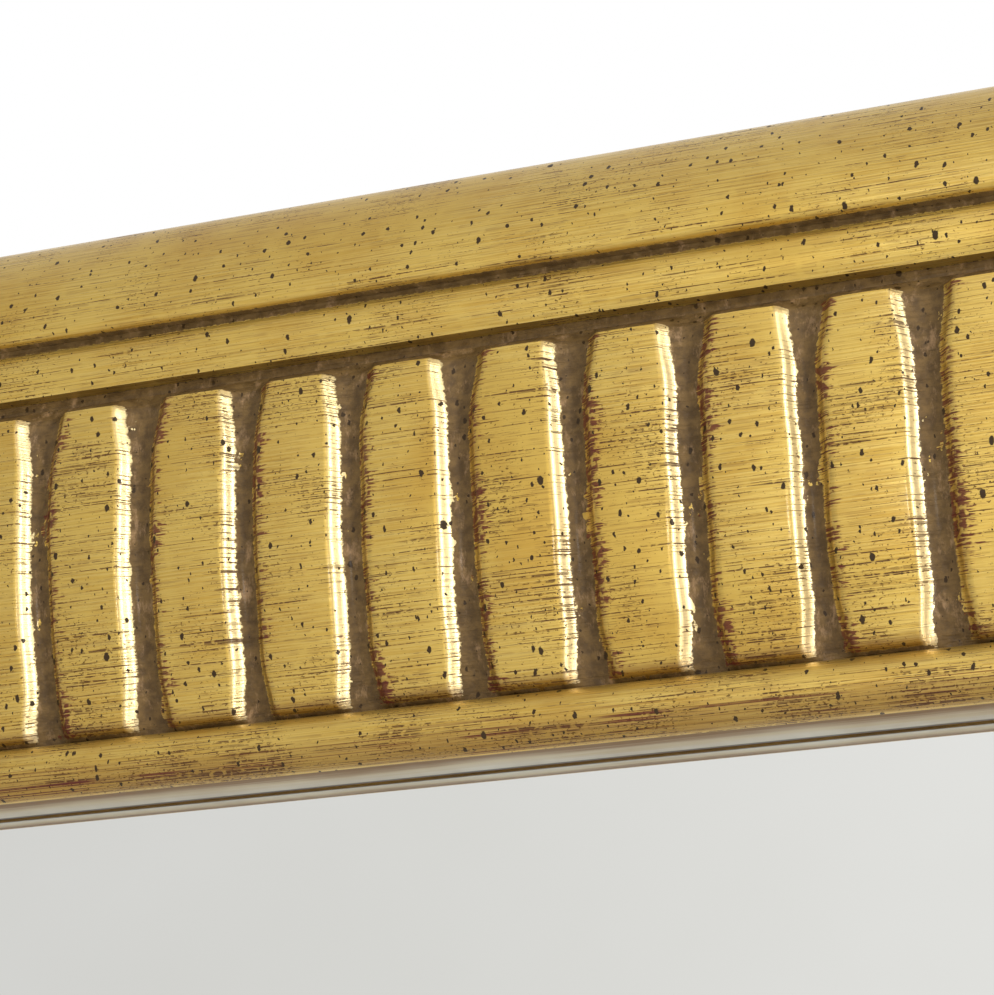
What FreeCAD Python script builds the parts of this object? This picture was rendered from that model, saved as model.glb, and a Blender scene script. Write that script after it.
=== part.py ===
import FreeCAD, Part
import os
import Sketcher

# A bevelled wall mirror in a gilded, fluted and mitred frame, in millimetres.
# X runs to the viewer's right, Y into the wall and Z up. The origin is the middle of the wall plane, which
# the four bumpers touch. In the moulding's section, height is measured forward from the rabbet floor, and
# width outward from the sight edge.

DIMENSIONS = {
    # Mirror plate and what packs it in the rabbet
    "plate_width": 609.6,
    "plate_height": 914.4,
    "plate_thick": 5.0,
    "bevel_width": 25.4,
    "bevel_drop": 2.6,
    "plate_gap": 2.0,
    "seat_gap": 0.05,
    "felt_thick": 1.0,
    "felt_width": 6.0,
    "felt_setback": 0.6,
    "block_length": 50.0,
    "filler_thick": 3.0,
    "board_thick": 3.2,
    "board_gap": 1.0,
    # Section of the moulding: heights forward of the rabbet floor
    "rabbet_depth": 14.0,
    "sight_bead_height": 7.8,
    "frieze_inner_height": 10.5,
    "frieze_outer_height": 21.0,
    "frieze_crown": 3.0,
    "valley_height": 17.4,
    "bead_height": 19.9,
    "quirk_height": 17.9,
    "nose_height": 23.2,
    "shoulder_height": 10.1,
    # Section of the moulding: widths from the sight edge outward
    "rabbet_lap": 8.2,
    "sight_bead_radius": 4.6,
    "inner_slope_width": 1.0,
    "frieze_width": 53.7,
    "outer_slope_width": 2.5,
    "valley_width": 2.6,
    "bead_width": 7.2,
    "bead_radius": 8.2,
    "quirk_width": 0.7,
    "roll_width": 24.1,
    "nose_radius": 1.5,
    "outer_radius": 10.0,
    # Flutes
    "flute_pitch": 19.05,
    "flute_radius": 3.6,
    "flute_depth": 1.9,
    "flute_inner_runout": 1.5,
    "flute_outer_runout": 1.9,
    "cut_overrun": 6.0,
    # Glazier points, corner nails and bumpers
    "point_thick": 0.6,
    "point_reach": 8.0,
    "point_bite": 6.0,
    "point_half_width": 5.0,
    "point_spacing": 220.0,
    "nail_wing": 7.0,
    "nail_thick": 0.6,
    "nail_height": 7.0,
    "nail_stand": 0.15,
    "bumper_radius": 8.0,
    "bumper_thick": 6.0,
    "bumper_edge": 1.5,
    "bumper_drop": 82.0,
    # Strap hangers
    "hanger_drop": 252.0,
    "strap_width": 13.0,
    "strap_thick": 1.0,
    "strap_length": 46.0,
    "strap_hole_gap": 0.35,
    "curl_seam": 0.25,
    "near_screw": 9.0,
    "far_screw": 36.0,
    "ring_wire_radius": 1.5,
    "ring_play": 0.08,
    "ring_end_gap": 0.5,
    "ring_corner": 2.5,
    "ring_side": 5.5,
    "ring_rest_gap": 0.3,
    # Hanger screws
    "screw_radius": 1.75,
    "screw_length": 18.0,
    "screw_tip": 4.0,
    "screw_head_radius": 3.4,
    "screw_head_height": 2.2,
    "pilot_gap": 0.05,
}

# Shares of the sizes that they follow
POINT_HEEL_SHARE = 0.7
NAIL_PLACE_SHARES = (0.36, 0.72)
BLOCK_PLACE_SHARE = 0.25

# Turns in degrees, and how near two coordinates of one place lie
QUARTER_TURN = 90
FULL_TURN = 360
SAME_PLACE = 1e-6

doc = FreeCAD.newDocument("bevelled_mirror")
sheet = doc.addObject("Spreadsheet::Sheet", "dims")
for row, (alias, number) in enumerate(DIMENSIONS.items(), start=1):
    sheet.set(f"A{row}", alias)
    sheet.set(f"B{row}", str(number))
    sheet.setAlias(f"B{row}", alias)
doc.recompute()

# Places worked out from the driving dimensions, as expressions
SIGHT_WIDTH = "(dims.plate_width - 2*(dims.rabbet_lap - dims.plate_gap))"
SIGHT_HEIGHT = "(dims.plate_height - 2*(dims.rabbet_lap - dims.plate_gap))"
FRIEZE_START = "(2*dims.sight_bead_radius + dims.inner_slope_width)"
FRIEZE_END = f"({FRIEZE_START} + dims.frieze_width)"
VALLEY_START = f"({FRIEZE_END} + dims.outer_slope_width)"
BEAD_START = f"({VALLEY_START} + dims.valley_width)"
BEAD_END = f"({BEAD_START} + dims.bead_width)"
NOSE_WALL = f"({BEAD_END} + dims.quirk_width)"
FACE_WIDTH = f"({NOSE_WALL} + dims.roll_width)"
FRAME_WIDTH = f"({SIGHT_WIDTH} + 2*{FACE_WIDTH})"
FRAME_HEIGHT = f"({SIGHT_HEIGHT} + 2*{FACE_WIDTH})"

# The nose turns into a broad crest, and the crest into the smaller outer round, each at a shared tangent
CREST_HEIGHT = "(dims.nose_height + dims.nose_radius)"
CREST_START = f"({NOSE_WALL} + dims.nose_radius)"
ROLL_DROP = f"({CREST_HEIGHT} - dims.shoulder_height)"
ROLL_REACH = f"({FACE_WIDTH} - dims.outer_radius - {CREST_START})"
CREST_RADIUS = (
    f"(({ROLL_DROP}^2 + {ROLL_REACH}^2 - dims.outer_radius^2) / (2*({ROLL_DROP} - dims.outer_radius)))"
)
ROLL_RATIO = f"({CREST_RADIUS} / ({CREST_RADIUS} - dims.outer_radius))"

# The crowned frieze is an arc over its chord, and the flutes follow the same centre
FRIEZE_RISE = "(dims.frieze_outer_height - dims.frieze_inner_height)"
FRIEZE_CHORD = f"sqrt(dims.frieze_width^2 + {FRIEZE_RISE}^2)"
FRIEZE_RADIUS = f"(({FRIEZE_CHORD}^2/4 + dims.frieze_crown^2) / (2*dims.frieze_crown))"
FRIEZE_DROP = f"({FRIEZE_RADIUS} - dims.frieze_crown)"
FRIEZE_CENTRE_HEIGHT = (
    f"((dims.frieze_inner_height + dims.frieze_outer_height)/2"
    f" - {FRIEZE_DROP}*dims.frieze_width/{FRIEZE_CHORD})"
)
FRIEZE_CENTRE_WIDTH = f"({FRIEZE_START} + dims.frieze_width/2 + {FRIEZE_DROP}*{FRIEZE_RISE}/{FRIEZE_CHORD})"
FRIEZE_TILT = f"atan({FRIEZE_RISE} / dims.frieze_width)"
FRIEZE_HALF_ANGLE = f"asin({FRIEZE_CHORD} / (2*{FRIEZE_RADIUS}))"

# Depths through the assembly, along Y
BACK_Y = "(-dims.bumper_thick)"
FLOOR_Y = f"({BACK_Y} - dims.rabbet_depth)"
BEVEL_AT_FELT = (
    "(dims.bevel_drop*(1 - (dims.rabbet_lap - dims.plate_gap - dims.felt_setback)/dims.bevel_width))"
)
PLATE_FRONT_Y = f"({FLOOR_Y} + dims.felt_thick + dims.seat_gap - {BEVEL_AT_FELT})"
PLATE_BACK_Y = f"({PLATE_FRONT_Y} + dims.plate_thick)"
BOARD_Y = f"({PLATE_BACK_Y} + dims.filler_thick)"
POINT_Y = f"({BOARD_Y} + dims.board_thick)"

# Strap hangers stand in the middle of the stiles' flat backs
HANGER_X = f"(({SIGHT_WIDTH}/2 + dims.rabbet_lap + {FRAME_WIDTH}/2)/2)"
HANGER_Z = f"({FRAME_HEIGHT}/2 - dims.hanger_drop)"
CURL_INNER = "(dims.ring_wire_radius + dims.ring_play)"
CURL_OUTER = f"({CURL_INNER} + dims.strap_thick)"
RING_HALF_BAR = "(dims.strap_width/2 + dims.ring_end_gap)"
RING_BOW = f"({RING_HALF_BAR} + dims.ring_corner)"
RING_REACH = f"(dims.ring_corner + dims.ring_side + {RING_BOW})"
RING_LEAN = f"asin(({CURL_OUTER} - dims.ring_wire_radius - dims.ring_rest_gap) / {RING_REACH})"


def value(expression):
    """The number that an expression gives now."""
    result = sheet.evalExpression(expression)
    return float(getattr(result, "Value", result))


def vector(x, y, z=0.0):
    return FreeCAD.Vector(x, y, z)


def origin_feature(body, role):
    return next(item for item in body.Origin.OriginFeatures if item.Role == role)


def new_body(label):
    body = doc.addObject("PartDesign::Body", label)
    body.Label = label
    return body


def place(item, x="0", y="0", z="0"):
    """Drives the base of an object's placement."""
    for axis, expression in zip("xyz", (x, y, z)):
        item.setExpression(f"Placement.Base.{axis}", expression)


def new_sketch(body, name, role):
    sketch = body.newObject("Sketcher::SketchObject", name)
    sketch.AttachmentSupport = [(origin_feature(body, role), "")]
    sketch.MapMode = "FlatFace"
    return sketch


def drive(sketch, kind, geometry, expression, *position):
    """Adds one dimension to a sketch and binds it."""
    constraint = Sketcher.Constraint(kind, geometry, *position, value(expression))
    index = sketch.addConstraint(constraint)
    sketch.setExpression(f"Constraints[{index}]", expression)


def straight(x, y):
    return x, y, None, None


def round_to(x, y, radius, side):
    """A round stretch that ends at x, y and bulges to the right (1) or left (-1) of its way."""
    return x, y, radius, side


def half_round_to(x, y, side):
    return x, y, "half", side


def middle_of_arc(start, end, radius, side):
    chord = end - start
    half = chord.Length / 2
    rise = half if radius == "half" else value(radius) - (value(radius) ** 2 - half**2) ** 0.5
    across = vector(chord.y, -chord.x).normalize()
    return (start + end) / 2 + across * (rise * side)


def draw_outline(sketch, corners):
    """Draws a closed outline whose corners and radii all follow expressions."""
    points = [vector(value(x), value(y)) for x, y, radius, side in corners]
    ends = []
    for index, (x, y, radius, side) in enumerate(corners):
        start, end = points[index - 1], points[index]
        if radius is None:
            geometry = sketch.addGeometry(Part.LineSegment(start, end))
        else:
            middle = middle_of_arc(start, end, radius, side)
            geometry = sketch.addGeometry(Part.Arc(start, middle, end))
        first = sketch.getPoint(geometry, 1)
        forward = first.distanceToPoint(start) <= first.distanceToPoint(end)
        ends.append((geometry, 1 if forward else 2, 2 if forward else 1))
    for index, (x, y, radius, side) in enumerate(corners):
        geometry, start_pos, end_pos = ends[index]
        next_geometry, next_start, next_end = ends[(index + 1) % len(ends)]
        sketch.addConstraint(Sketcher.Constraint("Coincident", geometry, end_pos, next_geometry, next_start))
        drive(sketch, "DistanceX", geometry, x, end_pos)
        drive(sketch, "DistanceY", geometry, y, end_pos)
        if radius == "half" and x == corners[index - 1][0]:
            drive(sketch, "DistanceX", geometry, x, 3)
        elif radius == "half":
            drive(sketch, "DistanceY", geometry, y, 3)
        elif radius is not None:
            drive(sketch, "Radius", geometry, radius)


def draw_circle(sketch, x, y, radius):
    centre = vector(value(x), value(y))
    geometry = sketch.addGeometry(Part.Circle(centre, vector(0, 0, 1), value(radius)))
    drive(sketch, "DistanceX", geometry, x, 3)
    drive(sketch, "DistanceY", geometry, y, 3)
    drive(sketch, "Radius", geometry, radius)


def pad(body, sketch, length, centred=True, backward=False):
    feature = body.newObject("PartDesign::Pad", f"{sketch.Name}_pad")
    feature.Profile = sketch
    feature.Midplane = centred
    feature.Reversed = backward
    feature.setExpression("Length", length)
    return feature


def require_cut(body, volume_before, what):
    doc.recompute()
    if body.Shape.Volume >= volume_before:
        raise RuntimeError(f"{what} cut nothing")


# Frame rails
def section_corner(height, width):
    return f"-({height})", width


def draw_section(sketch):
    """The moulding's section, with front heights to the left and widths upward."""
    meeting_height = f"{CREST_HEIGHT} - {CREST_RADIUS} + ({CREST_RADIUS} - {ROLL_DROP})*{ROLL_RATIO}"
    meeting_width = f"{CREST_START} + {ROLL_REACH}*{ROLL_RATIO}"
    corners = [
        straight(*section_corner("dims.sight_bead_height", "0")),
        half_round_to(*section_corner("dims.sight_bead_height", "2*dims.sight_bead_radius"), side=-1),
        straight(*section_corner("dims.frieze_inner_height", FRIEZE_START)),
        round_to(*section_corner("dims.frieze_outer_height", FRIEZE_END), FRIEZE_RADIUS, side=-1),
        straight(*section_corner("dims.valley_height", VALLEY_START)),
        straight(*section_corner("dims.valley_height", BEAD_START)),
        straight(*section_corner("dims.bead_height", BEAD_START)),
        round_to(*section_corner("dims.quirk_height", BEAD_END), "dims.bead_radius", side=-1),
        straight(*section_corner("dims.quirk_height", NOSE_WALL)),
        straight(*section_corner("dims.nose_height", NOSE_WALL)),
        round_to(*section_corner(CREST_HEIGHT, CREST_START), "dims.nose_radius", side=-1),
        round_to(*section_corner(meeting_height, meeting_width), CREST_RADIUS, side=-1),
        round_to(*section_corner("dims.shoulder_height", FACE_WIDTH), "dims.outer_radius", side=-1),
        straight(*section_corner("-dims.rabbet_depth", FACE_WIDTH)),
        straight(*section_corner("-dims.rabbet_depth", "dims.rabbet_lap")),
        straight(*section_corner("0", "dims.rabbet_lap")),
        straight("0", "0"),
    ]
    draw_outline(sketch, corners)


def cut_flutes(body, frame_length):
    """Round flutes across the crowned frieze, in step with the mitres, with a bar on the rail's middle."""
    count = f"(2*floor(({frame_length}/2 - {FACE_WIDTH} + {FRIEZE_END}) / dims.flute_pitch + 1/2))"
    first = f"(-({count} - 1)*dims.flute_pitch/2)"
    sketch = new_sketch(body, f"{body.Name}_flute", "XY_Plane")
    sketch.AttachmentOffset = FreeCAD.Placement(vector(0, 0), FreeCAD.Rotation(vector(1, 0), 1))
    sketch.setExpression("AttachmentOffset.Base.y", f"-{FRIEZE_CENTRE_HEIGHT}")
    sketch.setExpression("AttachmentOffset.Base.z", FRIEZE_CENTRE_WIDTH)
    sketch.setExpression("AttachmentOffset.Rotation.Angle", FRIEZE_TILT)
    swing = f"({FRIEZE_RADIUS} - dims.flute_depth + dims.flute_radius)"
    draw_circle(sketch, first, f"-{swing}", "dims.flute_radius")
    groove = body.newObject("PartDesign::Groove", f"{body.Name}_flute_cut")
    groove.Profile = sketch
    groove.ReferenceAxis = (sketch, ["H_Axis"])
    groove.Type = "TwoAngles"
    for side, runout in (("Angle", "dims.flute_inner_runout"), ("Angle2", "dims.flute_outer_runout")):
        groove.setExpression(side, f"{FRIEZE_HALF_ANGLE} + asin({runout}/{FRIEZE_RADIUS})")
    pattern = body.newObject("PartDesign::LinearPattern", f"{body.Name}_flutes")
    pattern.Originals = [groove]
    pattern.Direction = (origin_feature(body, "X_Axis"), [""])
    pattern.setExpression("Occurrences", count)
    pattern.setExpression("Length", f"({count} - 1)*dims.flute_pitch")
    body.Tip = pattern


def cut_mitres(body, sight_length):
    """Takes both ends off at 45 degrees, from the sight edge to the outer edge."""
    sketch = new_sketch(body, f"{body.Name}_mitre", "XZ_Plane")
    inner = f"({sight_length}/2 - dims.cut_overrun)"
    outer = f"({sight_length}/2 + {FACE_WIDTH} + dims.cut_overrun)"
    low = "-dims.cut_overrun"
    high = f"({FACE_WIDTH} + dims.cut_overrun)"
    for side in ("", "-"):
        near, far = f"{side}{inner}", f"{side}{outer}"
        draw_outline(sketch, [straight(near, low), straight(far, low), straight(far, high)])
    pocket = body.newObject("PartDesign::Pocket", f"{body.Name}_mitres")
    pocket.Profile = sketch
    pocket.Type = "ThroughAll"
    pocket.Midplane = True


def drill_pilots(body):
    """Pilot holes for the hanger screws, in the flat back of a stile."""
    sketch = new_sketch(body, f"{body.Name}_pilot", "XZ_Plane")
    sketch.setExpression("AttachmentOffset.Base.z", "-dims.rabbet_depth")
    for drop in ("dims.near_screw", "dims.far_screw"):
        draw_circle(
            sketch,
            f"{HANGER_Z} - {drop}",
            f"{HANGER_X} - {SIGHT_WIDTH}/2",
            "(dims.screw_radius + dims.pilot_gap)",
        )
    pocket = body.newObject("PartDesign::Pocket", f"{body.Name}_pilots")
    pocket.Profile = sketch
    pocket.Reversed = True
    pocket.setExpression("Length", "dims.screw_length")


def make_rail(label, sight_length, frame_length, with_pilots=False):
    """One length of fluted moulding along X, with its sight edge on X and its rabbet floor at Y zero."""
    body = new_body(label)
    sketch = new_sketch(body, f"{label}_section", "YZ_Plane")
    draw_section(sketch)
    pad(body, sketch, frame_length)
    doc.recompute()
    volume = body.Shape.Volume
    cut_flutes(body, frame_length)
    require_cut(body, volume, f"{label} flutes")
    volume = body.Shape.Volume
    cut_mitres(body, sight_length)
    require_cut(body, volume, f"{label} mitres")
    if with_pilots:
        volume = body.Shape.Volume
        drill_pilots(body)
        require_cut(body, volume, f"{label} pilots")
    return body


def make_mirrored(label, source, normal):
    """The matching piece on the far side of the mirror's middle."""
    twin = doc.addObject("Part::Mirroring", label)
    twin.Label = label
    twin.Source = source
    twin.Normal = normal
    return twin


def make_frame():
    top = make_rail("top_rail", SIGHT_WIDTH, FRAME_WIDTH)
    place(top, y=FLOOR_Y, z=f"{SIGHT_HEIGHT}/2")
    left = make_rail("left_stile", SIGHT_HEIGHT, FRAME_HEIGHT, with_pilots=True)
    left.Placement = FreeCAD.Placement(vector(0, 0), FreeCAD.Rotation(vector(0, 1), -QUARTER_TURN))
    place(left, x=f"-{SIGHT_WIDTH}/2", y=FLOOR_Y)
    bottom = make_mirrored("bottom_rail", top, vector(0, 0, 1))
    right = make_mirrored("right_stile", left, vector(1, 0, 0))
    return [top, bottom, left, right]


# Mirror plate and its packing
def make_plate():
    """Plate glass with a wide flat bevel ground all round its front."""
    body = new_body("mirror_plate")
    sketch = new_sketch(body, "mirror_plate_outline", "XZ_Plane")
    half_width, half_height = "dims.plate_width/2", "dims.plate_height/2"
    draw_outline(
        sketch,
        [
            straight(half_width, half_height),
            straight(f"-{half_width}", half_height),
            straight(f"-{half_width}", f"-{half_height}"),
            straight(half_width, f"-{half_height}"),
        ],
    )
    plate = pad(body, sketch, "dims.plate_thick", centred=False, backward=True)
    doc.recompute()
    volume = body.Shape.Volume
    front = min(range(len(plate.Shape.Faces)), key=lambda index: plate.Shape.Faces[index].CenterOfMass.y)
    bevel = body.newObject("PartDesign::Chamfer", "mirror_plate_bevel")
    bevel.Base = (plate, [f"Face{front + 1}"])
    bevel.ChamferType = "Two distances"
    bevel.FlipDirection = True
    bevel.setExpression("Size", "dims.bevel_width")
    bevel.setExpression("Size2", "dims.bevel_drop")
    require_cut(body, volume, "bevel")
    place(body, y=PLATE_FRONT_Y)
    return body


def make_slab(label, size, corner):
    """A plain sheet or strip, from its size and its low corner."""
    slab = doc.addObject("Part::Box", label)
    slab.Label = label
    for side, expression in zip(("Length", "Width", "Height"), size):
        slab.setExpression(side, expression)
    place(slab, *corner)
    return slab


def make_felts():
    """Felt strips that line the rabbet's floor behind the lip."""
    reach = "(dims.felt_setback + dims.felt_width)"
    across = f"({SIGHT_WIDTH} + 2*{reach})"
    upright = f"({SIGHT_HEIGHT} + 2*dims.felt_setback)"
    lying = (across, "dims.felt_thick", "dims.felt_width")
    standing = ("dims.felt_width", "dims.felt_thick", upright)
    left, low = f"-{across}/2", f"-{upright}/2"
    return [
        make_slab("top_felt", lying, (left, FLOOR_Y, f"{SIGHT_HEIGHT}/2 + dims.felt_setback")),
        make_slab("bottom_felt", lying, (left, FLOOR_Y, f"-{SIGHT_HEIGHT}/2 - {reach}")),
        make_slab("left_felt", standing, (left, FLOOR_Y, low)),
        make_slab("right_felt", standing, (f"{SIGHT_WIDTH}/2 + dims.felt_setback", FLOOR_Y, low)),
    ]


def make_backing():
    """A cardboard filler behind the silvering and the hardboard back over it."""
    width = "(dims.plate_width + 2*(dims.plate_gap - dims.board_gap))"
    height = "(dims.plate_height + 2*(dims.plate_gap - dims.board_gap))"
    corner = (f"-{width}/2", PLATE_BACK_Y, f"-{height}/2")
    filler = make_slab("filler_sheet", (width, "dims.filler_thick", height), corner)
    corner = (f"-{width}/2", BOARD_Y, f"-{height}/2")
    board = make_slab("backing_board", (width, "dims.board_thick", height), corner)
    return [filler, board]


def make_group(label, solids):
    """Several like pieces that share one node."""
    group = doc.addObject("Part::Feature", label)
    group.Label = label
    group.Shape = Part.Compound(solids)
    group.Placement = FreeCAD.Placement()
    return group


def make_setting_blocks():
    """Two blocks in the bottom rabbet that carry the plate's lower edge."""
    length = value("dims.block_length")
    depth = value("dims.plate_thick - dims.bevel_drop")
    thick = value("dims.plate_gap")
    low = value("-dims.plate_height/2 - dims.plate_gap")
    front = value(PLATE_BACK_Y) - depth
    solids = []
    for side in (-1, 1):
        middle = side * BLOCK_PLACE_SHARE * value("dims.plate_width")
        solids.append(Part.makeBox(length, depth, thick, vector(middle - length / 2, front, low)))
    return make_group("setting_blocks", solids)


def spread(length, spacing):
    """Even places along a length, about one spacing apart, with half a space at each end."""
    count = round(length / spacing)
    step = length / count
    return [(index - (count - 1) / 2) * step for index in range(count)]


def make_point(foot, outward, along):
    """One glazier point, driven from the rabbet's wall at foot, with its heel on the board."""
    thick = value("dims.point_thick")
    reach = value("dims.point_reach")
    bite = value("dims.point_bite")
    half = value("dims.point_half_width")
    heel = half * POINT_HEEL_SHARE
    outline = [
        foot + outward * bite,
        foot + along * half,
        foot - outward * reach + along * heel,
        foot - outward * reach - along * heel,
        foot - along * half,
    ]
    face = Part.Face(Part.makePolygon(outline + outline[:1]))
    return face.extrude(vector(0, thick))


def make_points():
    """Glazier points all round the rabbet, which hold the board in."""
    depth = value(POINT_Y)
    wall_x = value(f"{SIGHT_WIDTH}/2 + dims.rabbet_lap")
    wall_z = value(f"{SIGHT_HEIGHT}/2 + dims.rabbet_lap")
    spacing = value("dims.point_spacing")
    right, up = vector(1, 0, 0), vector(0, 0, 1)
    solids = []
    for side in (-1, 1):
        for x in spread(value("dims.plate_width"), spacing):
            solids.append(make_point(vector(x, depth, side * wall_z), up * side, right))
        for z in spread(value("dims.plate_height"), spacing):
            solids.append(make_point(vector(side * wall_x, depth, z), right * side, up))
    return make_group("glazier_points", solids)


def make_nail(apex, outward, across):
    """One corner nail: a bent strip that straddles the mitre."""
    wing = value("dims.nail_wing")
    thick = value("dims.nail_thick")
    outline = [
        apex,
        apex - outward * wing + across * wing,
        apex - outward * (wing + thick) + across * wing,
        apex - outward * thick,
        apex - outward * (wing + thick) - across * wing,
        apex - outward * wing - across * wing,
    ]
    face = Part.Face(Part.makePolygon(outline + outline[:1]))
    return face.extrude(vector(0, -value("dims.nail_height")))


def make_nails():
    """Two corner nails across the back of each mitre."""
    back = value(f"{BACK_Y} + dims.nail_stand")
    sight_x = value(f"{SIGHT_WIDTH}/2")
    sight_z = value(f"{SIGHT_HEIGHT}/2")
    solids = []
    for side_x in (-1, 1):
        for side_z in (-1, 1):
            outward = vector(side_x, 0, side_z).normalize()
            across = vector(side_x, 0, -side_z).normalize()
            for share in NAIL_PLACE_SHARES:
                width = share * value(FACE_WIDTH)
                apex = vector(side_x * (sight_x + width), back, side_z * (sight_z + width))
                solids.append(make_nail(apex, outward, across))
    return make_group("corner_nails", solids)


def revolve_about_y(outline):
    """A turned piece whose outline lies in the XY plane against the Y axis."""
    face = Part.Face(Part.Wire(outline))
    return face.revolve(vector(0, 0), vector(0, 1), FULL_TURN)


def quarter_round(start, end, corner):
    """A round edge from start to end that keeps clear of their shared corner."""
    centre = start + end - corner
    middle = centre + (corner - centre).normalize() * (start - centre).Length
    return Part.Arc(start, middle, end).toShape()


def line(start, end):
    return Part.LineSegment(start, end).toShape()


def make_bumpers():
    """Round bumpers near the corners of the stiles' backs, which meet the wall."""
    radius = value("dims.bumper_radius")
    edge = value("dims.bumper_edge")
    back, wall = value(BACK_Y), 0.0
    axis_back, rim_back = vector(0, back), vector(radius, back)
    rim_wall, face_wall, axis_wall = vector(radius, wall - edge), vector(radius - edge, wall), vector(0, wall)
    turned = revolve_about_y(
        [
            line(axis_back, rim_back),
            line(rim_back, rim_wall),
            quarter_round(rim_wall, face_wall, vector(radius, wall)),
            line(face_wall, axis_wall),
            line(axis_wall, axis_back),
        ]
    )
    across = value(HANGER_X)
    height = value(f"{FRAME_HEIGHT}/2 - dims.bumper_drop")
    places = [vector(x, 0, z) for x in (-across, across) for z in (-height, height)]
    return make_group("wall_bumpers", [turned.translated(place) for place in places])


# Strap hangers
def runs_through_foot(edge, foot):
    """Whether an edge crosses the strap's thickness at one corner of its foot."""
    ends = [vertex.Point for vertex in edge.Vertexes]
    at_foot = all(abs(end.z - foot) < SAME_PLACE for end in ends)
    return at_foot and abs(ends[0].x - ends[-1].x) < SAME_PLACE


def make_strap(label, side):
    """A steel strap with its top end curled round the ring's straight bar, screwed flat on the stile."""
    body = new_body(label)
    section = new_sketch(body, f"{label}_section", "YZ_Plane")
    # Heights below are from the curl's axis, and the strap lies on the stile's back
    low, floor = "-dims.strap_length", f"-{CURL_OUTER}"
    seam_sine = f"((dims.strap_thick + dims.curl_seam)/{CURL_OUTER} - 1)"
    seam_cosine = f"sqrt(1 - {seam_sine}^2)"
    tip_out = (f"{CURL_OUTER}*{seam_sine}", f"-{CURL_OUTER}*{seam_cosine}")
    tip_in = (f"{CURL_INNER}*{seam_sine}", f"-{CURL_INNER}*{seam_cosine}")
    draw_outline(
        section,
        [
            straight(floor, "0"),
            half_round_to(CURL_OUTER, "0", side=-1),
            round_to(*tip_out, CURL_OUTER, side=-1),
            straight(*tip_in),
            round_to(CURL_INNER, "0", CURL_INNER, side=1),
            half_round_to(f"-{CURL_INNER}", "0", side=1),
            straight(f"-{CURL_INNER}", low),
            straight(floor, low),
        ],
    )
    pad(body, section, "dims.strap_width")
    doc.recompute()
    volume = body.Shape.Volume
    holes = new_sketch(body, f"{label}_holes", "XZ_Plane")
    for drop in ("dims.near_screw", "dims.far_screw"):
        draw_circle(holes, "0", f"-{drop}", "(dims.screw_radius + dims.strap_hole_gap)")
    pocket = body.newObject("PartDesign::Pocket", f"{label}_hole_cut")
    pocket.Profile = holes
    pocket.Type = "ThroughAll"
    pocket.Midplane = True
    require_cut(body, volume, f"{label} holes")
    corners = [
        f"Edge{index + 1}"
        for index, edge in enumerate(pocket.Shape.Edges)
        if runs_through_foot(edge, value(low))
    ]
    rounding = body.newObject("PartDesign::Fillet", f"{label}_foot")
    rounding.Base = (pocket, corners)
    rounding.setExpression("Radius", "dims.strap_width/2 - dims.strap_thick")
    place(body, x=f"{side}*{HANGER_X}", y=f"{BACK_Y} + {CURL_OUTER}", z=HANGER_Z)
    return body


def make_ring(label, side):
    """A wire ring in the shape of a D, standing up from its straight bar and leaning on the stile's back."""
    body = new_body(label)
    path = new_sketch(body, f"{label}_path", "XZ_Plane")
    shoulder = "dims.ring_corner"
    spring = "(dims.ring_corner + dims.ring_side)"
    draw_outline(
        path,
        [
            straight(RING_HALF_BAR, "0"),
            round_to(RING_BOW, shoulder, "dims.ring_corner", side=1),
            straight(RING_BOW, spring),
            half_round_to(f"-{RING_BOW}", spring, side=1),
            straight(f"-{RING_BOW}", shoulder),
            round_to(f"-{RING_HALF_BAR}", "0", "dims.ring_corner", side=1),
            straight("0", "0"),
        ],
    )
    wire = new_sketch(body, f"{label}_wire", "YZ_Plane")
    draw_circle(wire, "0", "0", "dims.ring_wire_radius")
    doc.recompute()
    pipe = body.newObject("PartDesign::AdditivePipe", f"{label}_sweep")
    pipe.Profile = wire
    pipe.Spine = (path, [f"Edge{index + 1}" for index in range(len(path.Shape.Edges))])
    body.Placement = FreeCAD.Placement(vector(0, 0), FreeCAD.Rotation(vector(1, 0), 1))
    body.setExpression("Placement.Rotation.Angle", RING_LEAN)
    place(body, x=f"{side}*{HANGER_X}", y=f"{BACK_Y} + {CURL_OUTER}", z=HANGER_Z)
    return body


def make_screws():
    """Four pan-head screws that hold the straps to the stiles."""
    shank = value("dims.screw_radius")
    length = value("dims.screw_length")
    tip = value("dims.screw_tip")
    head = value("dims.screw_head_radius")
    rise = value("dims.screw_head_height")
    rim = rise / 2
    point, shoulder = vector(0, -length), vector(shank, tip - length)
    neck, seat = vector(shank, 0), vector(head, 0)
    edge, crown, top = vector(head, rise - rim), vector(head - rim, rise), vector(0, rise)
    turned = revolve_about_y(
        [
            line(point, shoulder),
            line(shoulder, neck),
            line(neck, seat),
            line(seat, edge),
            quarter_round(edge, crown, vector(head, rise)),
            line(crown, top),
            line(top, point),
        ]
    )
    across = value(HANGER_X)
    seat_y = value(f"{BACK_Y} + dims.strap_thick")
    heights = [value(f"{HANGER_Z} - {drop}") for drop in ("dims.near_screw", "dims.far_screw")]
    places = [vector(x, seat_y, z) for x in (-across, across) for z in heights]
    return make_group("hanger_screws", [turned.translated(place) for place in places])


def make_hangers():
    pieces = []
    for name, side in (("left", -1), ("right", 1)):
        pieces.append(make_strap(f"{name}_hanger_strap", side))
        pieces.append(make_ring(f"{name}_hanger_ring", side))
    pieces.append(make_screws())
    return pieces


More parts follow.
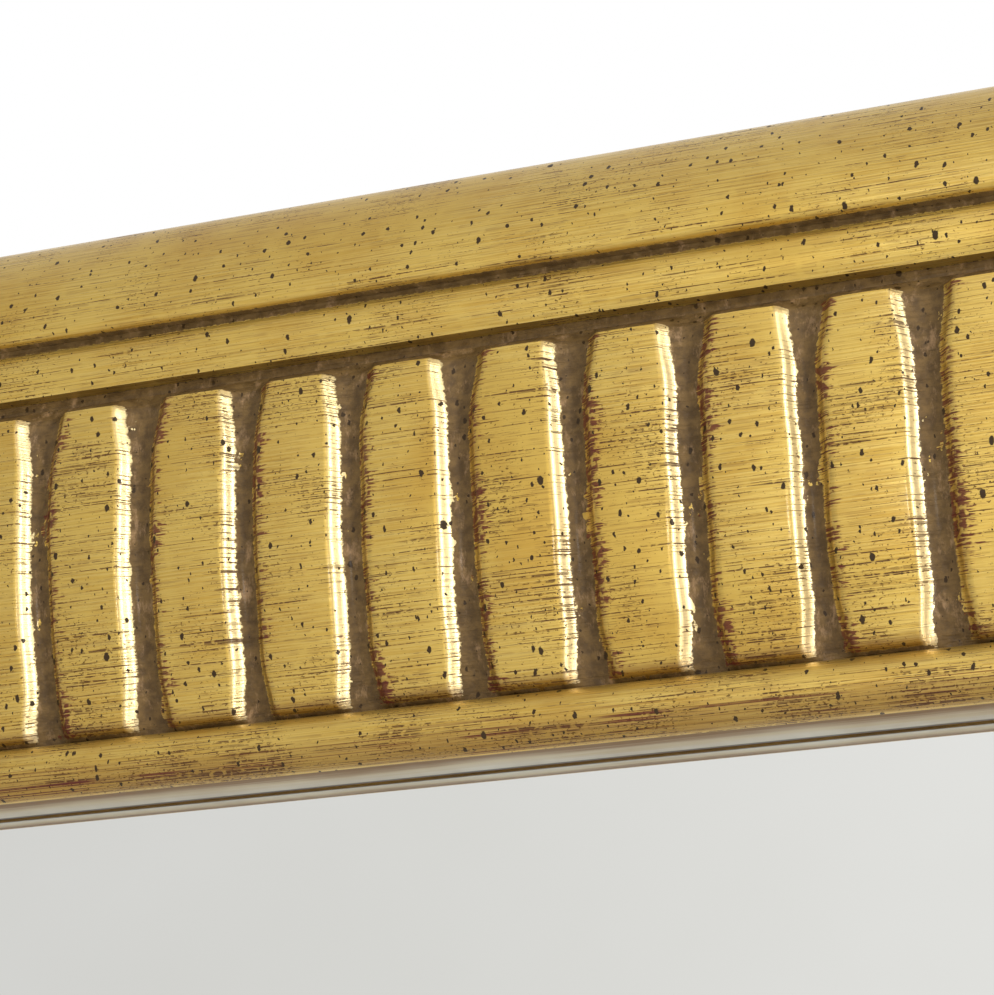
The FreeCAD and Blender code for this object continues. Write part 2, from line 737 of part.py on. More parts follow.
def check_document(pieces):
    """Stops unless every object is sound and every piece is a valid solid."""
    doc.recompute()
    for item in doc.Objects:
        if "Invalid" in item.State or "Error" in item.State:
            raise RuntimeError(f"{item.Label} is {item.State}")
    for piece in pieces:
        if piece.Shape.isNull() or not piece.Shape.isValid() or not piece.Shape.Solids:
            raise RuntimeError(f"{piece.Label} has no valid solid")


def write_pieces(pieces):
    os.makedirs("parts", exist_ok=True)
    for piece in pieces:
        piece.Shape.exportStep(f"parts/{piece.Label}.step")
        box = piece.Shape.BoundBox
        print(f"{piece.Label}: {len(piece.Shape.Solids)} solids, {piece.Shape.Volume:.0f} mm3, {box}")


sub_parts = make_frame()
sub_parts.append(make_plate())
sub_parts += make_felts()
sub_parts += make_backing()
sub_parts += [make_setting_blocks(), make_points(), make_nails(), make_bumpers()]
sub_parts += make_hangers()
check_document(sub_parts)
write_pieces(sub_parts)
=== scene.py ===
"""A bevelled wall mirror in a gilded, fluted frame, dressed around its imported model."""

import logging
import math
import random
from dataclasses import dataclass, field
from enum import Enum, IntEnum

import bmesh
import bpy
from mathutils import Matrix, Vector, noise


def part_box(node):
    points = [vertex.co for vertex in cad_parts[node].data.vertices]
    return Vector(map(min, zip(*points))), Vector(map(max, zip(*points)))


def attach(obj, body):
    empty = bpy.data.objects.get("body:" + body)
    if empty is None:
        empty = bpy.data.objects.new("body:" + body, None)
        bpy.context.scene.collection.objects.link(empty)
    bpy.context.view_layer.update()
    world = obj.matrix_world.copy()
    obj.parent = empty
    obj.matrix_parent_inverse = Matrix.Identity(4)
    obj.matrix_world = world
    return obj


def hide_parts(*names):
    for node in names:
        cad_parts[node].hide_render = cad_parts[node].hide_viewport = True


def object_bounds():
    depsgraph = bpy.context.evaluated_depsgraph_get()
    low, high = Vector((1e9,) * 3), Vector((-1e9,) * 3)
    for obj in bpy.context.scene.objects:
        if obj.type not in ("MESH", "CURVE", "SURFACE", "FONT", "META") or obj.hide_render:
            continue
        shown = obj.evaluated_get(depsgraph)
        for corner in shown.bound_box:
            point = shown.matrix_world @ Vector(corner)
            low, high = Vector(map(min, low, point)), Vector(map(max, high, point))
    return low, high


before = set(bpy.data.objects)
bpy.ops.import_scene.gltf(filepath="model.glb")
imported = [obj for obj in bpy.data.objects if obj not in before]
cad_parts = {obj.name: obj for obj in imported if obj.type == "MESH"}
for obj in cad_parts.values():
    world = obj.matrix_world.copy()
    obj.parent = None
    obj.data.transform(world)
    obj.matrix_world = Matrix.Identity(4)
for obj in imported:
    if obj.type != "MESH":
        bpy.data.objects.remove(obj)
CAD_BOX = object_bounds()

LOG = logging.getLogger("bevelled_mirror")
MM = 0.001
ROOT_BODY = "frame"
FAR_FROM_BARS = 99.0
PLAIN_WEAR = 0.2
BAR_WEAR = 0.5

Socket = bpy.types.NodeSocket
Feed = float | tuple[float, ...] | Vector | Socket


class Side(Enum):
    """A length of the frame: its node's name and its turn about Y in degrees."""

    TOP = ("top_rail", 0.0)
    RIGHT = ("right_stile", 90.0)
    BOTTOM = ("bottom_rail", 180.0)
    LEFT = ("left_stile", -90.0)

    @property
    def node(self) -> str:
        """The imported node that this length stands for."""
        return self.value[0]

    @property
    def turn(self) -> float:
        """The turn about Y in radians."""
        return math.radians(self.value[1])

    @property
    def upright(self) -> bool:
        """Whether this length stands upright."""
        return self in (Side.LEFT, Side.RIGHT)


class Layer(str, Enum):
    """Names of the values that meshes carry for their finishes."""

    ACROSS = "across"
    SHARE = "frieze_share"
    CUT = "flute_cut"
    WEAR = "wear"
    GOLD_EDGE = "gold_edge"
    BAR_LEFT = "bar_left"
    BAR_RIGHT = "bar_right"
    UV = "moulding_uv"


class NodeGraph:
    """Short calls that add and link the nodes of one shader tree."""

    def __init__(self, tree: bpy.types.NodeTree) -> None:
        """Keeps the tree.

        Args:
            tree: The material's, group's or world's node tree.
        """
        self.tree = tree

    def feed(self, socket: Socket, value: Feed) -> None:
        """Links a socket to an input, or sets the input's own value.

        Args:
            socket: The input.
            value: A socket to link, or a value to set.
        """
        if isinstance(value, Socket):
            self.tree.links.new(value, socket)
        else:
            socket.default_value = value

    def add(self, kind: str, inputs: dict | None = None, **settings: object) -> bpy.types.Node:
        """Adds a node.

        Args:
            kind: The node's type name.
            inputs: Values or sockets for its inputs, by name or place.
            **settings: The node's own settings.

        Returns:
            The new node.
        """
        node = self.tree.nodes.new(kind)
        for name, setting in settings.items():
            setattr(node, name, setting)
        for name, value in (inputs or {}).items():
            self.feed(node.inputs[name], value)
        return node

    def math(self, operation: str, first: Feed, second: Feed = 0.0) -> Socket:
        """One sum of two values."""
        return self.add("ShaderNodeMath", {0: first, 1: second}, operation=operation).outputs[0]

    def ramp(self, value: Feed, low: Feed, high: Feed, start: Feed = 0.0, end: Feed = 1.0) -> Socket:
        """A soft step from start to end as a value goes from low to high.

        Args:
            value: The value.
            low: Where the step starts.
            high: Where it ends.
            start: The result up to low.
            end: The result from high on.

        Returns:
            The result's socket.
        """
        inputs = {"Value": value, "From Min": low, "From Max": high, "To Min": start, "To Max": end}
        node = self.add("ShaderNodeMapRange", inputs, interpolation_type="SMOOTHSTEP")
        return node.outputs["Result"]

    def mix(self, share: Feed, first: Feed, second: Feed) -> Socket:
        """A blend of two colours."""
        inputs = {0: share, 6: first, 7: second}
        return self.add("ShaderNodeMix", inputs, data_type="RGBA").outputs[2]

    def blend(self, share: Feed, first: Feed, second: Feed) -> Socket:
        """A blend of two values."""
        inputs = {0: share, 2: first, 3: second}
        return self.add("ShaderNodeMix", inputs, data_type="FLOAT").outputs[0]

    def overlay(self, under: Feed, over: Feed, mask: Feed, strength: float) -> Socket:
        """A colour laid over another by a mask, at part of its strength."""
        return self.mix(self.math("MULTIPLY", mask, strength), under, over)

    def stretch(self, vector: Feed, scale: Feed, turn: float = 0.0) -> Socket:
        """A pattern's coordinates, turned about Z and stretched."""
        inputs = {"Vector": vector, "Scale": scale, "Rotation": (0.0, 0.0, turn)}
        return self.add("ShaderNodeMapping", inputs).outputs[0]

    def cloud(self, vector: Feed, scale: Feed, detail: float = 2.0, rough: float = 0.5) -> Socket:
        """A soft random value between 0 and 1."""
        inputs = {"Vector": vector, "Scale": scale, "Detail": detail, "Roughness": rough}
        return self.add("ShaderNodeTexNoise", inputs).outputs[0]

    def attribute(self, name: str) -> Socket:
        """A value that the mesh carries."""
        return self.add("ShaderNodeAttribute", attribute_name=name).outputs["Fac"]


@dataclass(frozen=True)
class EffectGroup:
    """A shader group that several finishes share."""

    name: str
    inputs: tuple[tuple[str, str, Feed], ...]
    output: str = "Mask"

    def tree(self) -> tuple[bpy.types.NodeTree, bool]:
        """The group's tree, made on its first use.

        Returns:
            The tree, and whether it is new and still empty.
        """
        found = bpy.data.node_groups.get(self.name)
        if found:
            return found, False
        tree = bpy.data.node_groups.new(self.name, "ShaderNodeTree")
        for label, kind, value in self.inputs:
            socket = tree.interface.new_socket(label, in_out="INPUT", socket_type=kind)
            if value is not None:
                socket.default_value = value
        tree.interface.new_socket(self.output, in_out="OUTPUT", socket_type="NodeSocketFloat")
        return tree, True

    def fill(self, graph: NodeGraph, given: bpy.types.NodeOutputs) -> Socket:
        """The group's own nodes.

        Args:
            graph: The group's graph.
            given: The sockets that the group is given.

        Returns:
            The value that the group puts out.
        """
        raise NotImplementedError

    def place(self, graph: NodeGraph, **inputs: Feed) -> Socket:
        """Puts the group into a finish.

        Args:
            graph: The finish's graph.
            **inputs: Values or sockets for the group's inputs.

        Returns:
            The group's output in that finish.
        """
        tree, new = self.tree()
        if new:
            inner = NodeGraph(tree)
            given = inner.add("NodeGroupInput").outputs
            inner.add("NodeGroupOutput", {self.output: self.fill(inner, given)})
        return graph.add("ShaderNodeGroup", inputs, node_tree=tree).outputs[self.output]


@dataclass(frozen=True)
class FlySpecks(EffectGroup):
    """Small leaning oval specks, each of its own size."""

    name: str = "fly_specks"
    inputs: tuple = (
        ("Vector", "NodeSocketVector", None),
        ("Cells", "NodeSocketFloat", 100.0),
        ("Share", "NodeSocketFloat", 0.4),
        ("Smallest", "NodeSocketFloat", 0.05),
        ("Largest", "NodeSocketFloat", 0.16),
    )
    lean: float = math.radians(24.0)
    longer: float = 1.7
    drift_scale: float = 1400.0
    drift: float = 0.7 * MM
    core: float = 0.72

    def fill(self, graph: NodeGraph, given: bpy.types.NodeOutputs) -> Socket:
        """Ovals round the middles of some cells of a Voronoi pattern.

        Args:
            graph: The group's graph.
            given: The sockets that the group is given.

        Returns:
            The specks' mask.
        """
        inputs = {"Vector": given["Vector"], "Scale": self.drift_scale}
        drift = graph.add("ShaderNodeTexNoise", inputs).outputs["Color"]
        reach = (self.drift,) * 3
        shift = graph.add("ShaderNodeVectorMath", {0: drift, 1: reach}, operation="MULTIPLY").outputs[0]
        place = graph.add("ShaderNodeVectorMath", {0: given["Vector"], 1: shift}, operation="ADD").outputs[0]
        vector = graph.stretch(place, (self.longer, 1.0, 1.0), self.lean)
        inputs = {"Vector": vector, "Scale": given["Cells"], "Randomness": 1.0}
        cells = graph.add("ShaderNodeTexVoronoi", inputs, voronoi_dimensions="2D")
        luck = graph.add("ShaderNodeSeparateColor", {0: cells.outputs["Color"]}).outputs
        size = graph.blend(graph.math("POWER", luck[0], 3.0), given["Smallest"], given["Largest"])
        inner = graph.math("MULTIPLY", size, self.core)
        disc = graph.ramp(cells.outputs["Distance"], inner, size, 1.0, 0.0)
        kept = graph.math("LESS_THAN", luck[1], given["Share"])
        return graph.math("MULTIPLY", disc, kept)


@dataclass(frozen=True)
class DragLines(EffectGroup):
    """Thin lines that a dragged brush leaves along a surface."""

    name: str = "drag_lines"
    inputs: tuple = (
        ("Vector", "NodeSocketVector", None),
        ("Along", "NodeSocketFloat", 40.0),
        ("Across", "NodeSocketFloat", 2000.0),
        ("Start", "NodeSocketFloat", 0.6),
        ("Full", "NodeSocketFloat", 0.75),
        ("Break", "NodeSocketFloat", 20.0),
    )

    def fill(self, graph: NodeGraph, given: bpy.types.NodeOutputs) -> Socket:
        """A noise drawn out along the length, cut to its peaks.

        Args:
            graph: The group's graph.
            given: The sockets that the group is given.

        Returns:
            The lines' mask.
        """
        scale = graph.add("ShaderNodeCombineXYZ", {0: given["Along"], 1: given["Across"], 2: 1.0}).outputs[0]
        inputs = {0: given["Vector"], 1: scale}
        drawn = graph.add("ShaderNodeVectorMath", inputs, operation="MULTIPLY").outputs[0]
        value = graph.cloud(drawn, 1.0, detail=3.0, rough=0.62)
        dashes = graph.ramp(graph.cloud(given["Vector"], given["Break"], detail=1.0), 0.36, 0.5, 0.15, 1.0)
        return graph.math("MULTIPLY", graph.ramp(value, given["Start"], given["Full"]), dashes)


@dataclass(frozen=True)
class Mottle(EffectGroup):
    """Soft uneven tone."""

    name: str = "mottle"
    inputs: tuple = (
        ("Vector", "NodeSocketVector", None),
        ("Scale", "NodeSocketFloat", 100.0),
        ("Low", "NodeSocketFloat", 0.35),
        ("High", "NodeSocketFloat", 0.65),
    )

    def fill(self, graph: NodeGraph, given: bpy.types.NodeOutputs) -> Socket:
        """A noise with its middle range spread out."""
        value = graph.cloud(given["Vector"], given["Scale"], detail=4.0, rough=0.6)
        return graph.ramp(value, given["Low"], given["High"])


SPECKS = FlySpecks()
LINES = DragLines()
MOTTLE = Mottle()


def rgb(red: int, green: int, blue: int) -> tuple[float, float, float, float]:
    """A screen colour as the linear colour that shaders take.

    Args:
        red: Red from 0 to 255.
        green: Green from 0 to 255.
        blue: Blue from 0 to 255.

    Returns:
        Red, green, blue and alpha, from 0 to 1.
    """
    parts = (part / 255.0 for part in (red, green, blue))
    linear = (part / 12.92 if part <= 0.04045 else ((part + 0.055) / 1.055) ** 2.4 for part in parts)
    return (*linear, 1.0)


@dataclass(frozen=True)
class Finish:
    """A finish with its own node material."""

    name: str

    def material(self) -> bpy.types.Material:
        """The finish's material, made on its first use.

        Returns:
            The material.
        """
        found = bpy.data.materials.get(self.name)
        if found:
            return found
        material = bpy.data.materials.new(self.name)
        material.use_nodes = True
        graph = NodeGraph(material.node_tree)
        shader = next(node for node in material.node_tree.nodes if node.type == "BSDF_PRINCIPLED")
        self.shade(graph, shader)
        return material

    def shade(self, graph: NodeGraph, shader: bpy.types.Node) -> None:
        """Feeds the shader.

        Args:
            graph: The material's graph.
            shader: Its Principled BSDF.
        """
        raise NotImplementedError

    def relief(self, graph: NodeGraph, shader: bpy.types.Node, height: Feed, depth: float) -> None:
        """Adds fine relief to a surface.

        Args:
            graph: The material's graph.
            shader: Its Principled BSDF.
            height: The relief's height, from 0 to 1.
            depth: What a height of 1 stands for, in metres.
        """
        bump = graph.add("ShaderNodeBump", {"Height": height, "Distance": depth, "Strength": 1.0})
        graph.feed(shader.inputs["Normal"], bump.outputs["Normal"])


@dataclass(frozen=True)
class Gilding(Finish):
    """Antiqued gold leaf over red bole, with taupe paint in the hollows."""

    name: str = "gilding"
    leaf: tuple = rgb(200, 166, 78)
    deep_leaf: tuple = rgb(188, 150, 64)
    pale_leaf: tuple = rgb(226, 199, 118)
    bole: tuple = rgb(84, 28, 20)
    umber: tuple = rgb(72, 38, 12)
    taupe: tuple = rgb(106, 82, 46)
    dark_taupe: tuple = rgb(80, 60, 32)
    # Pale colour of the painted glints on the paint in the hollows.
    painted_glint: tuple = rgb(172, 138, 100)
    rubbed: tuple = rgb(128, 92, 44)
    speck: tuple = rgb(50, 34, 10)
    # Colour of the painted highlight on the bars' right edges, the side that the right lamp lights.
    painted_edge_highlight: tuple = rgb(246, 235, 198)
    leaf_metallic: float = 0.86
    leaf_coat: float = 0.36
    paint_coat: float = 0.06
    relief_depth: float = 0.07 * MM

    def shade(self, graph: NodeGraph, shader: bpy.types.Node) -> None:
        """Leaf, wear, paint with painted glints, a painted edge highlight and specks, each by its own mask.

        Args:
            graph: The material's graph.
            shader: Its Principled BSDF.
        """
        place = graph.add("ShaderNodeUVMap", uv_map=Layer.UV.value).outputs[0]
        wear = graph.attribute(Layer.WEAR.value)
        painted = self.paint_mask(graph, place)
        brush = LINES.place(graph, Vector=place, Along=45.0, Across=3200.0, Start=0.35, Full=0.68)
        lines, dots = self.umber_masks(graph, place, wear)
        scored = self.score_mask(graph, place, wear)
        worn = self.bole_mask(graph, place)
        mottle = MOTTLE.place(graph, Vector=place, Scale=420.0, Low=0.34, High=0.68)
        # Pale smears on the paint are painted glints. The same mask also makes the paint there glossier and
        # partly metallic.
        glint_cloud = graph.cloud(graph.stretch(place, (1.0, 0.45, 1.0)), 330.0, detail=5.0, rough=0.75)
        bright = graph.math("MULTIPLY", graph.ramp(glint_cloud, 0.52, 0.72), painted)
        large = SPECKS.place(graph, Vector=place, Cells=125.0, Share=0.72, Smallest=0.03, Largest=0.12)
        small = SPECKS.place(graph, Vector=place, Cells=290.0, Share=0.55, Smallest=0.06, Largest=0.2)
        specks = graph.math("MAXIMUM", large, small)

        leaf = self.leaf_colour(graph, place, wear, brush)
        leaf = graph.overlay(leaf, self.umber, lines, 0.95)
        leaf = graph.overlay(leaf, self.umber, dots, 0.8)
        leaf = graph.mix(scored, leaf, self.bole)
        leaf = graph.overlay(leaf, self.bole, worn, 0.92)
        colour = graph.mix(painted, leaf, graph.mix(mottle, self.dark_taupe, self.taupe))
        colour = graph.overlay(colour, self.painted_glint, bright, 0.6)
        graph.feed(shader.inputs["Base Color"], graph.mix(specks, colour, self.speck))

        dull = graph.math("SUBTRACT", painted, graph.math("MULTIPLY", bright, 0.3))
        drawn = graph.math("MAXIMUM", lines, scored)
        for mask, share in ((specks, 1.0), (worn, 0.85), (drawn, 0.95)):
            dull = graph.math("MAXIMUM", dull, graph.math("MULTIPLY", mask, share))
        graph.feed(shader.inputs["Metallic"], graph.ramp(dull, 0.0, 1.0, self.leaf_metallic, 0.0))
        graph.feed(shader.inputs["Coat Weight"], graph.ramp(dull, 0.0, 1.0, self.leaf_coat, self.paint_coat))
        sheen = graph.blend(brush, 0.42, 0.32)
        matt = graph.ramp(mottle, 0.0, 1.0, 0.34, 0.55)
        graph.feed(shader.inputs["Roughness"], graph.blend(dull, sheen, matt))
        shader.inputs["Specular IOR Level"].default_value = 0.2
        shader.inputs["Coat Roughness"].default_value = 0.15
        pits = graph.math("SUBTRACT", graph.math("MULTIPLY", brush, 0.35), graph.math("MULTIPLY", lines, 0.5))
        height = graph.math("ADD", pits, graph.math("MULTIPLY", mottle, painted))
        self.relief(graph, shader, height, self.relief_depth)

    def on_bars(self, graph: NodeGraph) -> Socket:
        """Where the surface is the frieze's and not the moulding's."""
        return graph.math("LESS_THAN", graph.attribute(Layer.BAR_LEFT.value), FAR_FROM_BARS / 2)

    def paint_mask(self, graph: NodeGraph, place: Socket) -> Socket:
        """Paint in the hollows, with a ragged border and a few blots of leaf beside the bars.

        Args:
            graph: The material's graph.
            place: The surface's coordinates.

        Returns:
            1 on paint and 0 on leaf.
        """
        edge = graph.attribute(Layer.GOLD_EDGE.value)
        ragged = graph.cloud(place, 1100.0, detail=3.0, rough=0.6)
        border = graph.math("ADD", edge, graph.ramp(ragged, 0.3, 0.7, -0.2, 0.2))
        drawn = graph.stretch(place, (1.0, 0.55, 1.0))
        blots = MOTTLE.place(graph, Vector=drawn, Scale=230.0, Low=0.60, High=0.68)
        near = graph.math("MULTIPLY", graph.ramp(edge, -3.2, -0.3), self.on_bars(graph))
        lift = graph.math("MULTIPLY", graph.math("MULTIPLY", blots, near), 2.4)
        return graph.ramp(graph.math("ADD", border, lift), -0.14, 0.12, 1.0, 0.0)

    def leaf_colour(self, graph: NodeGraph, place: Socket, wear: Socket, brush: Socket) -> Socket:
        """Leaf with brush marks, furrows, rubbed stretches and a painted highlight along the bars' right
        edges.

        Args:
            graph: The material's graph.
            place: The surface's coordinates.
            wear: How worn the surface is.
            brush: The brush marks' mask.

        Returns:
            The leaf's colour.
        """
        tone = graph.cloud(place, 60.0, detail=4.0, rough=0.6)
        leaf = graph.mix(graph.ramp(tone, 0.3, 0.62), self.deep_leaf, self.leaf)
        leaf = graph.overlay(leaf, self.pale_leaf, brush, 0.45)
        furrows = LINES.place(
            graph, Vector=place, Along=70.0, Across=2700.0, Start=0.48, Full=0.66, Break=300.0
        )
        leaf = graph.overlay(leaf, self.rubbed, furrows, 0.4)
        leaf = graph.mix(graph.ramp(wear, 0.45, 1.0, 0.0, 0.55), leaf, self.rubbed)
        # Pale cream laid along the bars' right edges is a painted highlight.
        right = graph.attribute(Layer.BAR_RIGHT.value)
        return graph.mix(graph.ramp(right, 0.1, 1.1, 0.4, 0.0), leaf, self.painted_edge_highlight)

    def umber_masks(self, graph: NodeGraph, place: Socket, wear: Socket) -> tuple[Socket, Socket]:
        """Umber that was dragged along and left in the leaf, more where it is worn.

        Args:
            graph: The material's graph.
            place: The surface's coordinates.
            wear: How worn the surface is.

        Returns:
            Masks of the lines and of the dots.
        """
        clusters = graph.ramp(graph.cloud(place, 70.0, detail=2.0), 0.34, 0.66, 0.0, 0.09)
        ease = graph.math("ADD", clusters, graph.math("MULTIPLY", wear, 0.07))
        start = graph.math("SUBTRACT", 0.64, ease)
        full = graph.math("ADD", start, 0.08)
        lines = LINES.place(
            graph, Vector=place, Along=36.0, Across=3300.0, Start=start, Full=full, Break=900.0
        )
        grain = graph.cloud(graph.stretch(place, (1.0, 1.6, 1.0)), 1500.0, detail=2.0, rough=0.6)
        thin = graph.math("SUBTRACT", 0.69, ease)
        return lines, graph.ramp(graph.math("SUBTRACT", grain, thin), 0.0, 0.09)

    def score_mask(self, graph: NodeGraph, place: Socket, wear: Socket) -> Socket:
        """Long lines of bole on the worn sight bead.

        Args:
            graph: The material's graph.
            place: The surface's coordinates.
            wear: How worn the surface is.

        Returns:
            The lines' mask.
        """
        scores = LINES.place(graph, Vector=place, Along=9.0, Across=2400.0, Start=0.54, Full=0.64, Break=60.0)
        bead = graph.math("SUBTRACT", graph.ramp(wear, 0.3, 0.9, 0.0, 0.9), self.on_bars(graph))
        return graph.math("MULTIPLY", scores, graph.ramp(bead, 0.0, 1.0))

    def bole_mask(self, graph: NodeGraph, place: Socket) -> Socket:
        """Bole that shows through on the bars, mostly along their left edges.

        Args:
            graph: The material's graph.
            place: The surface's coordinates.

        Returns:
            The bole's mask.
        """
        at_left = graph.ramp(graph.attribute(Layer.BAR_LEFT.value), 0.1, 4.6, 0.31, 0.0)
        at_right = graph.ramp(graph.attribute(Layer.BAR_RIGHT.value), 0.2, 3.0, 0.10, 0.0)
        patches = graph.ramp(graph.cloud(place, 85.0, detail=2.0), 0.35, 0.7, -0.12, 0.07)
        bias = graph.math("ADD", graph.math("ADD", at_left, at_right), patches)
        low = graph.math("SUBTRACT", 0.73, bias)
        high = graph.math("ADD", low, 0.05)
        worn = LINES.place(graph, Vector=place, Along=170.0, Across=2300.0, Start=low, Full=high, Break=900.0)
        return graph.math("MULTIPLY", worn, self.on_bars(graph))


@dataclass(frozen=True)
class SightWash(Finish):
    """A thin beige wash on the sight edge's side."""

    name: str = "sight_wash"
    pale: tuple = rgb(176, 164, 138)
    # Mirror-like grey for the foot near the glass, a painted reflection.
    grey: tuple = rgb(182, 178, 166)
    brown: tuple = rgb(112, 84, 50)
    # Colour of the painted shadow in the gap between lip and glass.
    painted_gap_shadow: tuple = rgb(62, 56, 50)

    def shade(self, graph: NodeGraph, shader: bpy.types.Node) -> None:
        """Beige that greys towards the glass as a painted reflection of the mirror, browns towards the bead,
        and ends in a painted shadow line at the glass.

        Args:
            graph: The material's graph.
            shader: Its Principled BSDF.
        """
        place = graph.add("ShaderNodeUVMap", uv_map=Layer.UV.value).outputs[0]
        drag = LINES.place(graph, Vector=place, Along=20.0, Across=700.0, Start=0.35, Full=0.65)
        tone = MOTTLE.place(graph, Vector=place, Scale=40.0, Low=0.3, High=0.7)
        height = graph.add("ShaderNodeSeparateXYZ", {0: place}).outputs[1]
        wobble = graph.math("MULTIPLY", graph.math("SUBTRACT", drag, 0.5), 1.2 * MM)
        level = graph.math("ADD", height, wobble)
        # Towards the glass the beige turns to the grey of a painted reflection of the mirror.
        colour = graph.mix(graph.ramp(level, 1.2 * MM, 4.0 * MM), self.grey, self.pale)
        colour = graph.mix(graph.ramp(level, 3.6 * MM, 6.8 * MM), colour, self.brown)
        # The dark line at the very foot, against the glass, is a painted shadow of the gap.
        colour = graph.mix(graph.ramp(height, 0.45 * MM, 0.9 * MM, 0.9, 0.0), colour, self.painted_gap_shadow)
        colour = graph.mix(graph.math("MULTIPLY", tone, 0.25), colour, self.brown)
        graph.feed(shader.inputs["Base Color"], colour)
        graph.feed(shader.inputs["Roughness"], graph.blend(tone, 0.5, 0.65))
        self.relief(graph, shader, drag, 0.05 * MM)


@dataclass(frozen=True)
class PaintedSide(Finish):
    """Yellow ochre on the frame's outer side."""

    name: str = "ochre_side"
    ochre: tuple = rgb(176, 134, 62)
    dark: tuple = rgb(118, 84, 38)

    def shade(self, graph: NodeGraph, shader: bpy.types.Node) -> None:
        """Brushed ochre with rubbed streaks and specks.

        Args:
            graph: The material's graph.
            shader: Its Principled BSDF.
        """
        place = graph.add("ShaderNodeUVMap", uv_map=Layer.UV.value).outputs[0]
        drag = LINES.place(graph, Vector=place, Along=14.0, Across=900.0, Start=0.3, Full=0.7)
        tone = MOTTLE.place(graph, Vector=place, Scale=30.0, Low=0.3, High=0.7)
        share = graph.math("MULTIPLY", graph.math("ADD", drag, tone), 0.5)
        colour = graph.mix(share, self.dark, self.ochre)
        specks = SPECKS.place(graph, Vector=place, Cells=120.0, Share=0.3, Smallest=0.03, Largest=0.1)
        graph.feed(shader.inputs["Base Color"], graph.mix(specks, colour, self.dark))
        graph.feed(shader.inputs["Roughness"], graph.blend(tone, 0.42, 0.6))
        self.relief(graph, shader, drag, 0.05 * MM)


@dataclass(frozen=True)
class BareWood(Finish):
    """Bare pine on the back of the moulding."""

    name: str = "bare_pine"
    early: tuple = rgb(214, 182, 134)
    late: tuple = rgb(168, 122, 74)

    def shade(self, graph: NodeGraph, shader: bpy.types.Node) -> None:
        """Grain lines along the length with darker late wood.

        Args:
            graph: The material's graph.
            shader: Its Principled BSDF.
        """
        place = graph.add("ShaderNodeUVMap", uv_map=Layer.UV.value).outputs[0]
        wander = graph.cloud(graph.stretch(place, (3.0, 60.0, 1.0)), 1.0, detail=2.0)
        rings = graph.math("FRACT", graph.math("MULTIPLY", wander, 14.0))
        late = graph.ramp(rings, 0.35, 0.95)
        fibre = LINES.place(graph, Vector=place, Along=40.0, Across=2600.0, Start=0.35, Full=0.7)
        share = graph.math("ADD", graph.math("MULTIPLY", late, 0.65), graph.math("MULTIPLY", fibre, 0.3))
        graph.feed(shader.inputs["Base Color"], graph.mix(share, self.early, self.late))
        graph.feed(shader.inputs["Roughness"], graph.blend(late, 0.72, 0.55))
        self.relief(graph, shader, fibre, 0.08 * MM)


@dataclass(frozen=True)
class Silvering(Finish):
    """Silvered plate glass, seen from its front."""

    name: str = "plate_silvering"
    clear: tuple = rgb(251, 251, 247)
    aged: tuple = rgb(247, 247, 242)
    wedge_bend: float = 0.75

    def shade(self, graph: NodeGraph, shader: bpy.types.Node) -> None:
        """A bright mirror with wiping marks, whose bevels bend the view inward as a glass wedge does.

        Args:
            graph: The material's graph.
            shader: Its Principled BSDF.
        """
        place = graph.add("ShaderNodeTexCoord").outputs["Object"]
        tone = MOTTLE.place(graph, Vector=place, Scale=9.0, Low=0.3, High=0.7)
        graph.feed(shader.inputs["Base Color"], graph.mix(tone, self.clear, self.aged))
        shader.inputs["Metallic"].default_value = 1.0
        drawn = graph.stretch(place, (30.0, 1.0, 8.0))
        smear = MOTTLE.place(graph, Vector=drawn, Scale=1.0, Low=0.4, High=0.7)
        graph.feed(shader.inputs["Roughness"], graph.blend(smear, 0.012, 0.03))
        facing = graph.add("ShaderNodeNewGeometry").outputs["Normal"]
        wedge = (-self.wedge_bend, 1.0, -self.wedge_bend)
        bent = graph.add("ShaderNodeVectorMath", {0: facing, 1: wedge}, operation="MULTIPLY").outputs[0]
        seen = graph.add("ShaderNodeVectorMath", {0: bent}, operation="NORMALIZE").outputs[0]
        graph.feed(shader.inputs["Normal"], seen)


@dataclass(frozen=True)
class PlainFinish(Finish):
    """A two-tone finish with soft mottling and fine grain."""

    name: str = "plain"
    first: tuple = rgb(120, 120, 120)
    second: tuple = rgb(90, 90, 90)
    tone_scale: float = 60.0
    grain_scale: float = 1500.0
    grain_share: float = 0.4
    smooth: float = 0.4
    rough: float = 0.6
    metallic: float = 0.0
    grain_depth: float = 0.05 * MM

    def shade(self, graph: NodeGraph, shader: bpy.types.Node) -> None:
        """Broad tone and fine grain, with roughness that follows them.

        Args:
            graph: The material's graph.
            shader: Its Principled BSDF.
        """
        place = graph.add("ShaderNodeTexCoord").outputs["Object"]
        tone = MOTTLE.place(graph, Vector=place, Scale=self.tone_scale, Low=0.3, High=0.7)
        grain = MOTTLE.place(graph, Vector=place, Scale=self.grain_scale, Low=0.35, High=0.65)
        share = graph.blend(self.grain_share, tone, grain)
        graph.feed(shader.inputs["Base Color"], graph.mix(share, self.first, self.second))
        graph.feed(shader.inputs["Roughness"], graph.blend(share, self.smooth, self.rough))
        shader.inputs["Metallic"].default_value = self.metallic
        self.relief(graph, shader, grain, self.grain_depth)


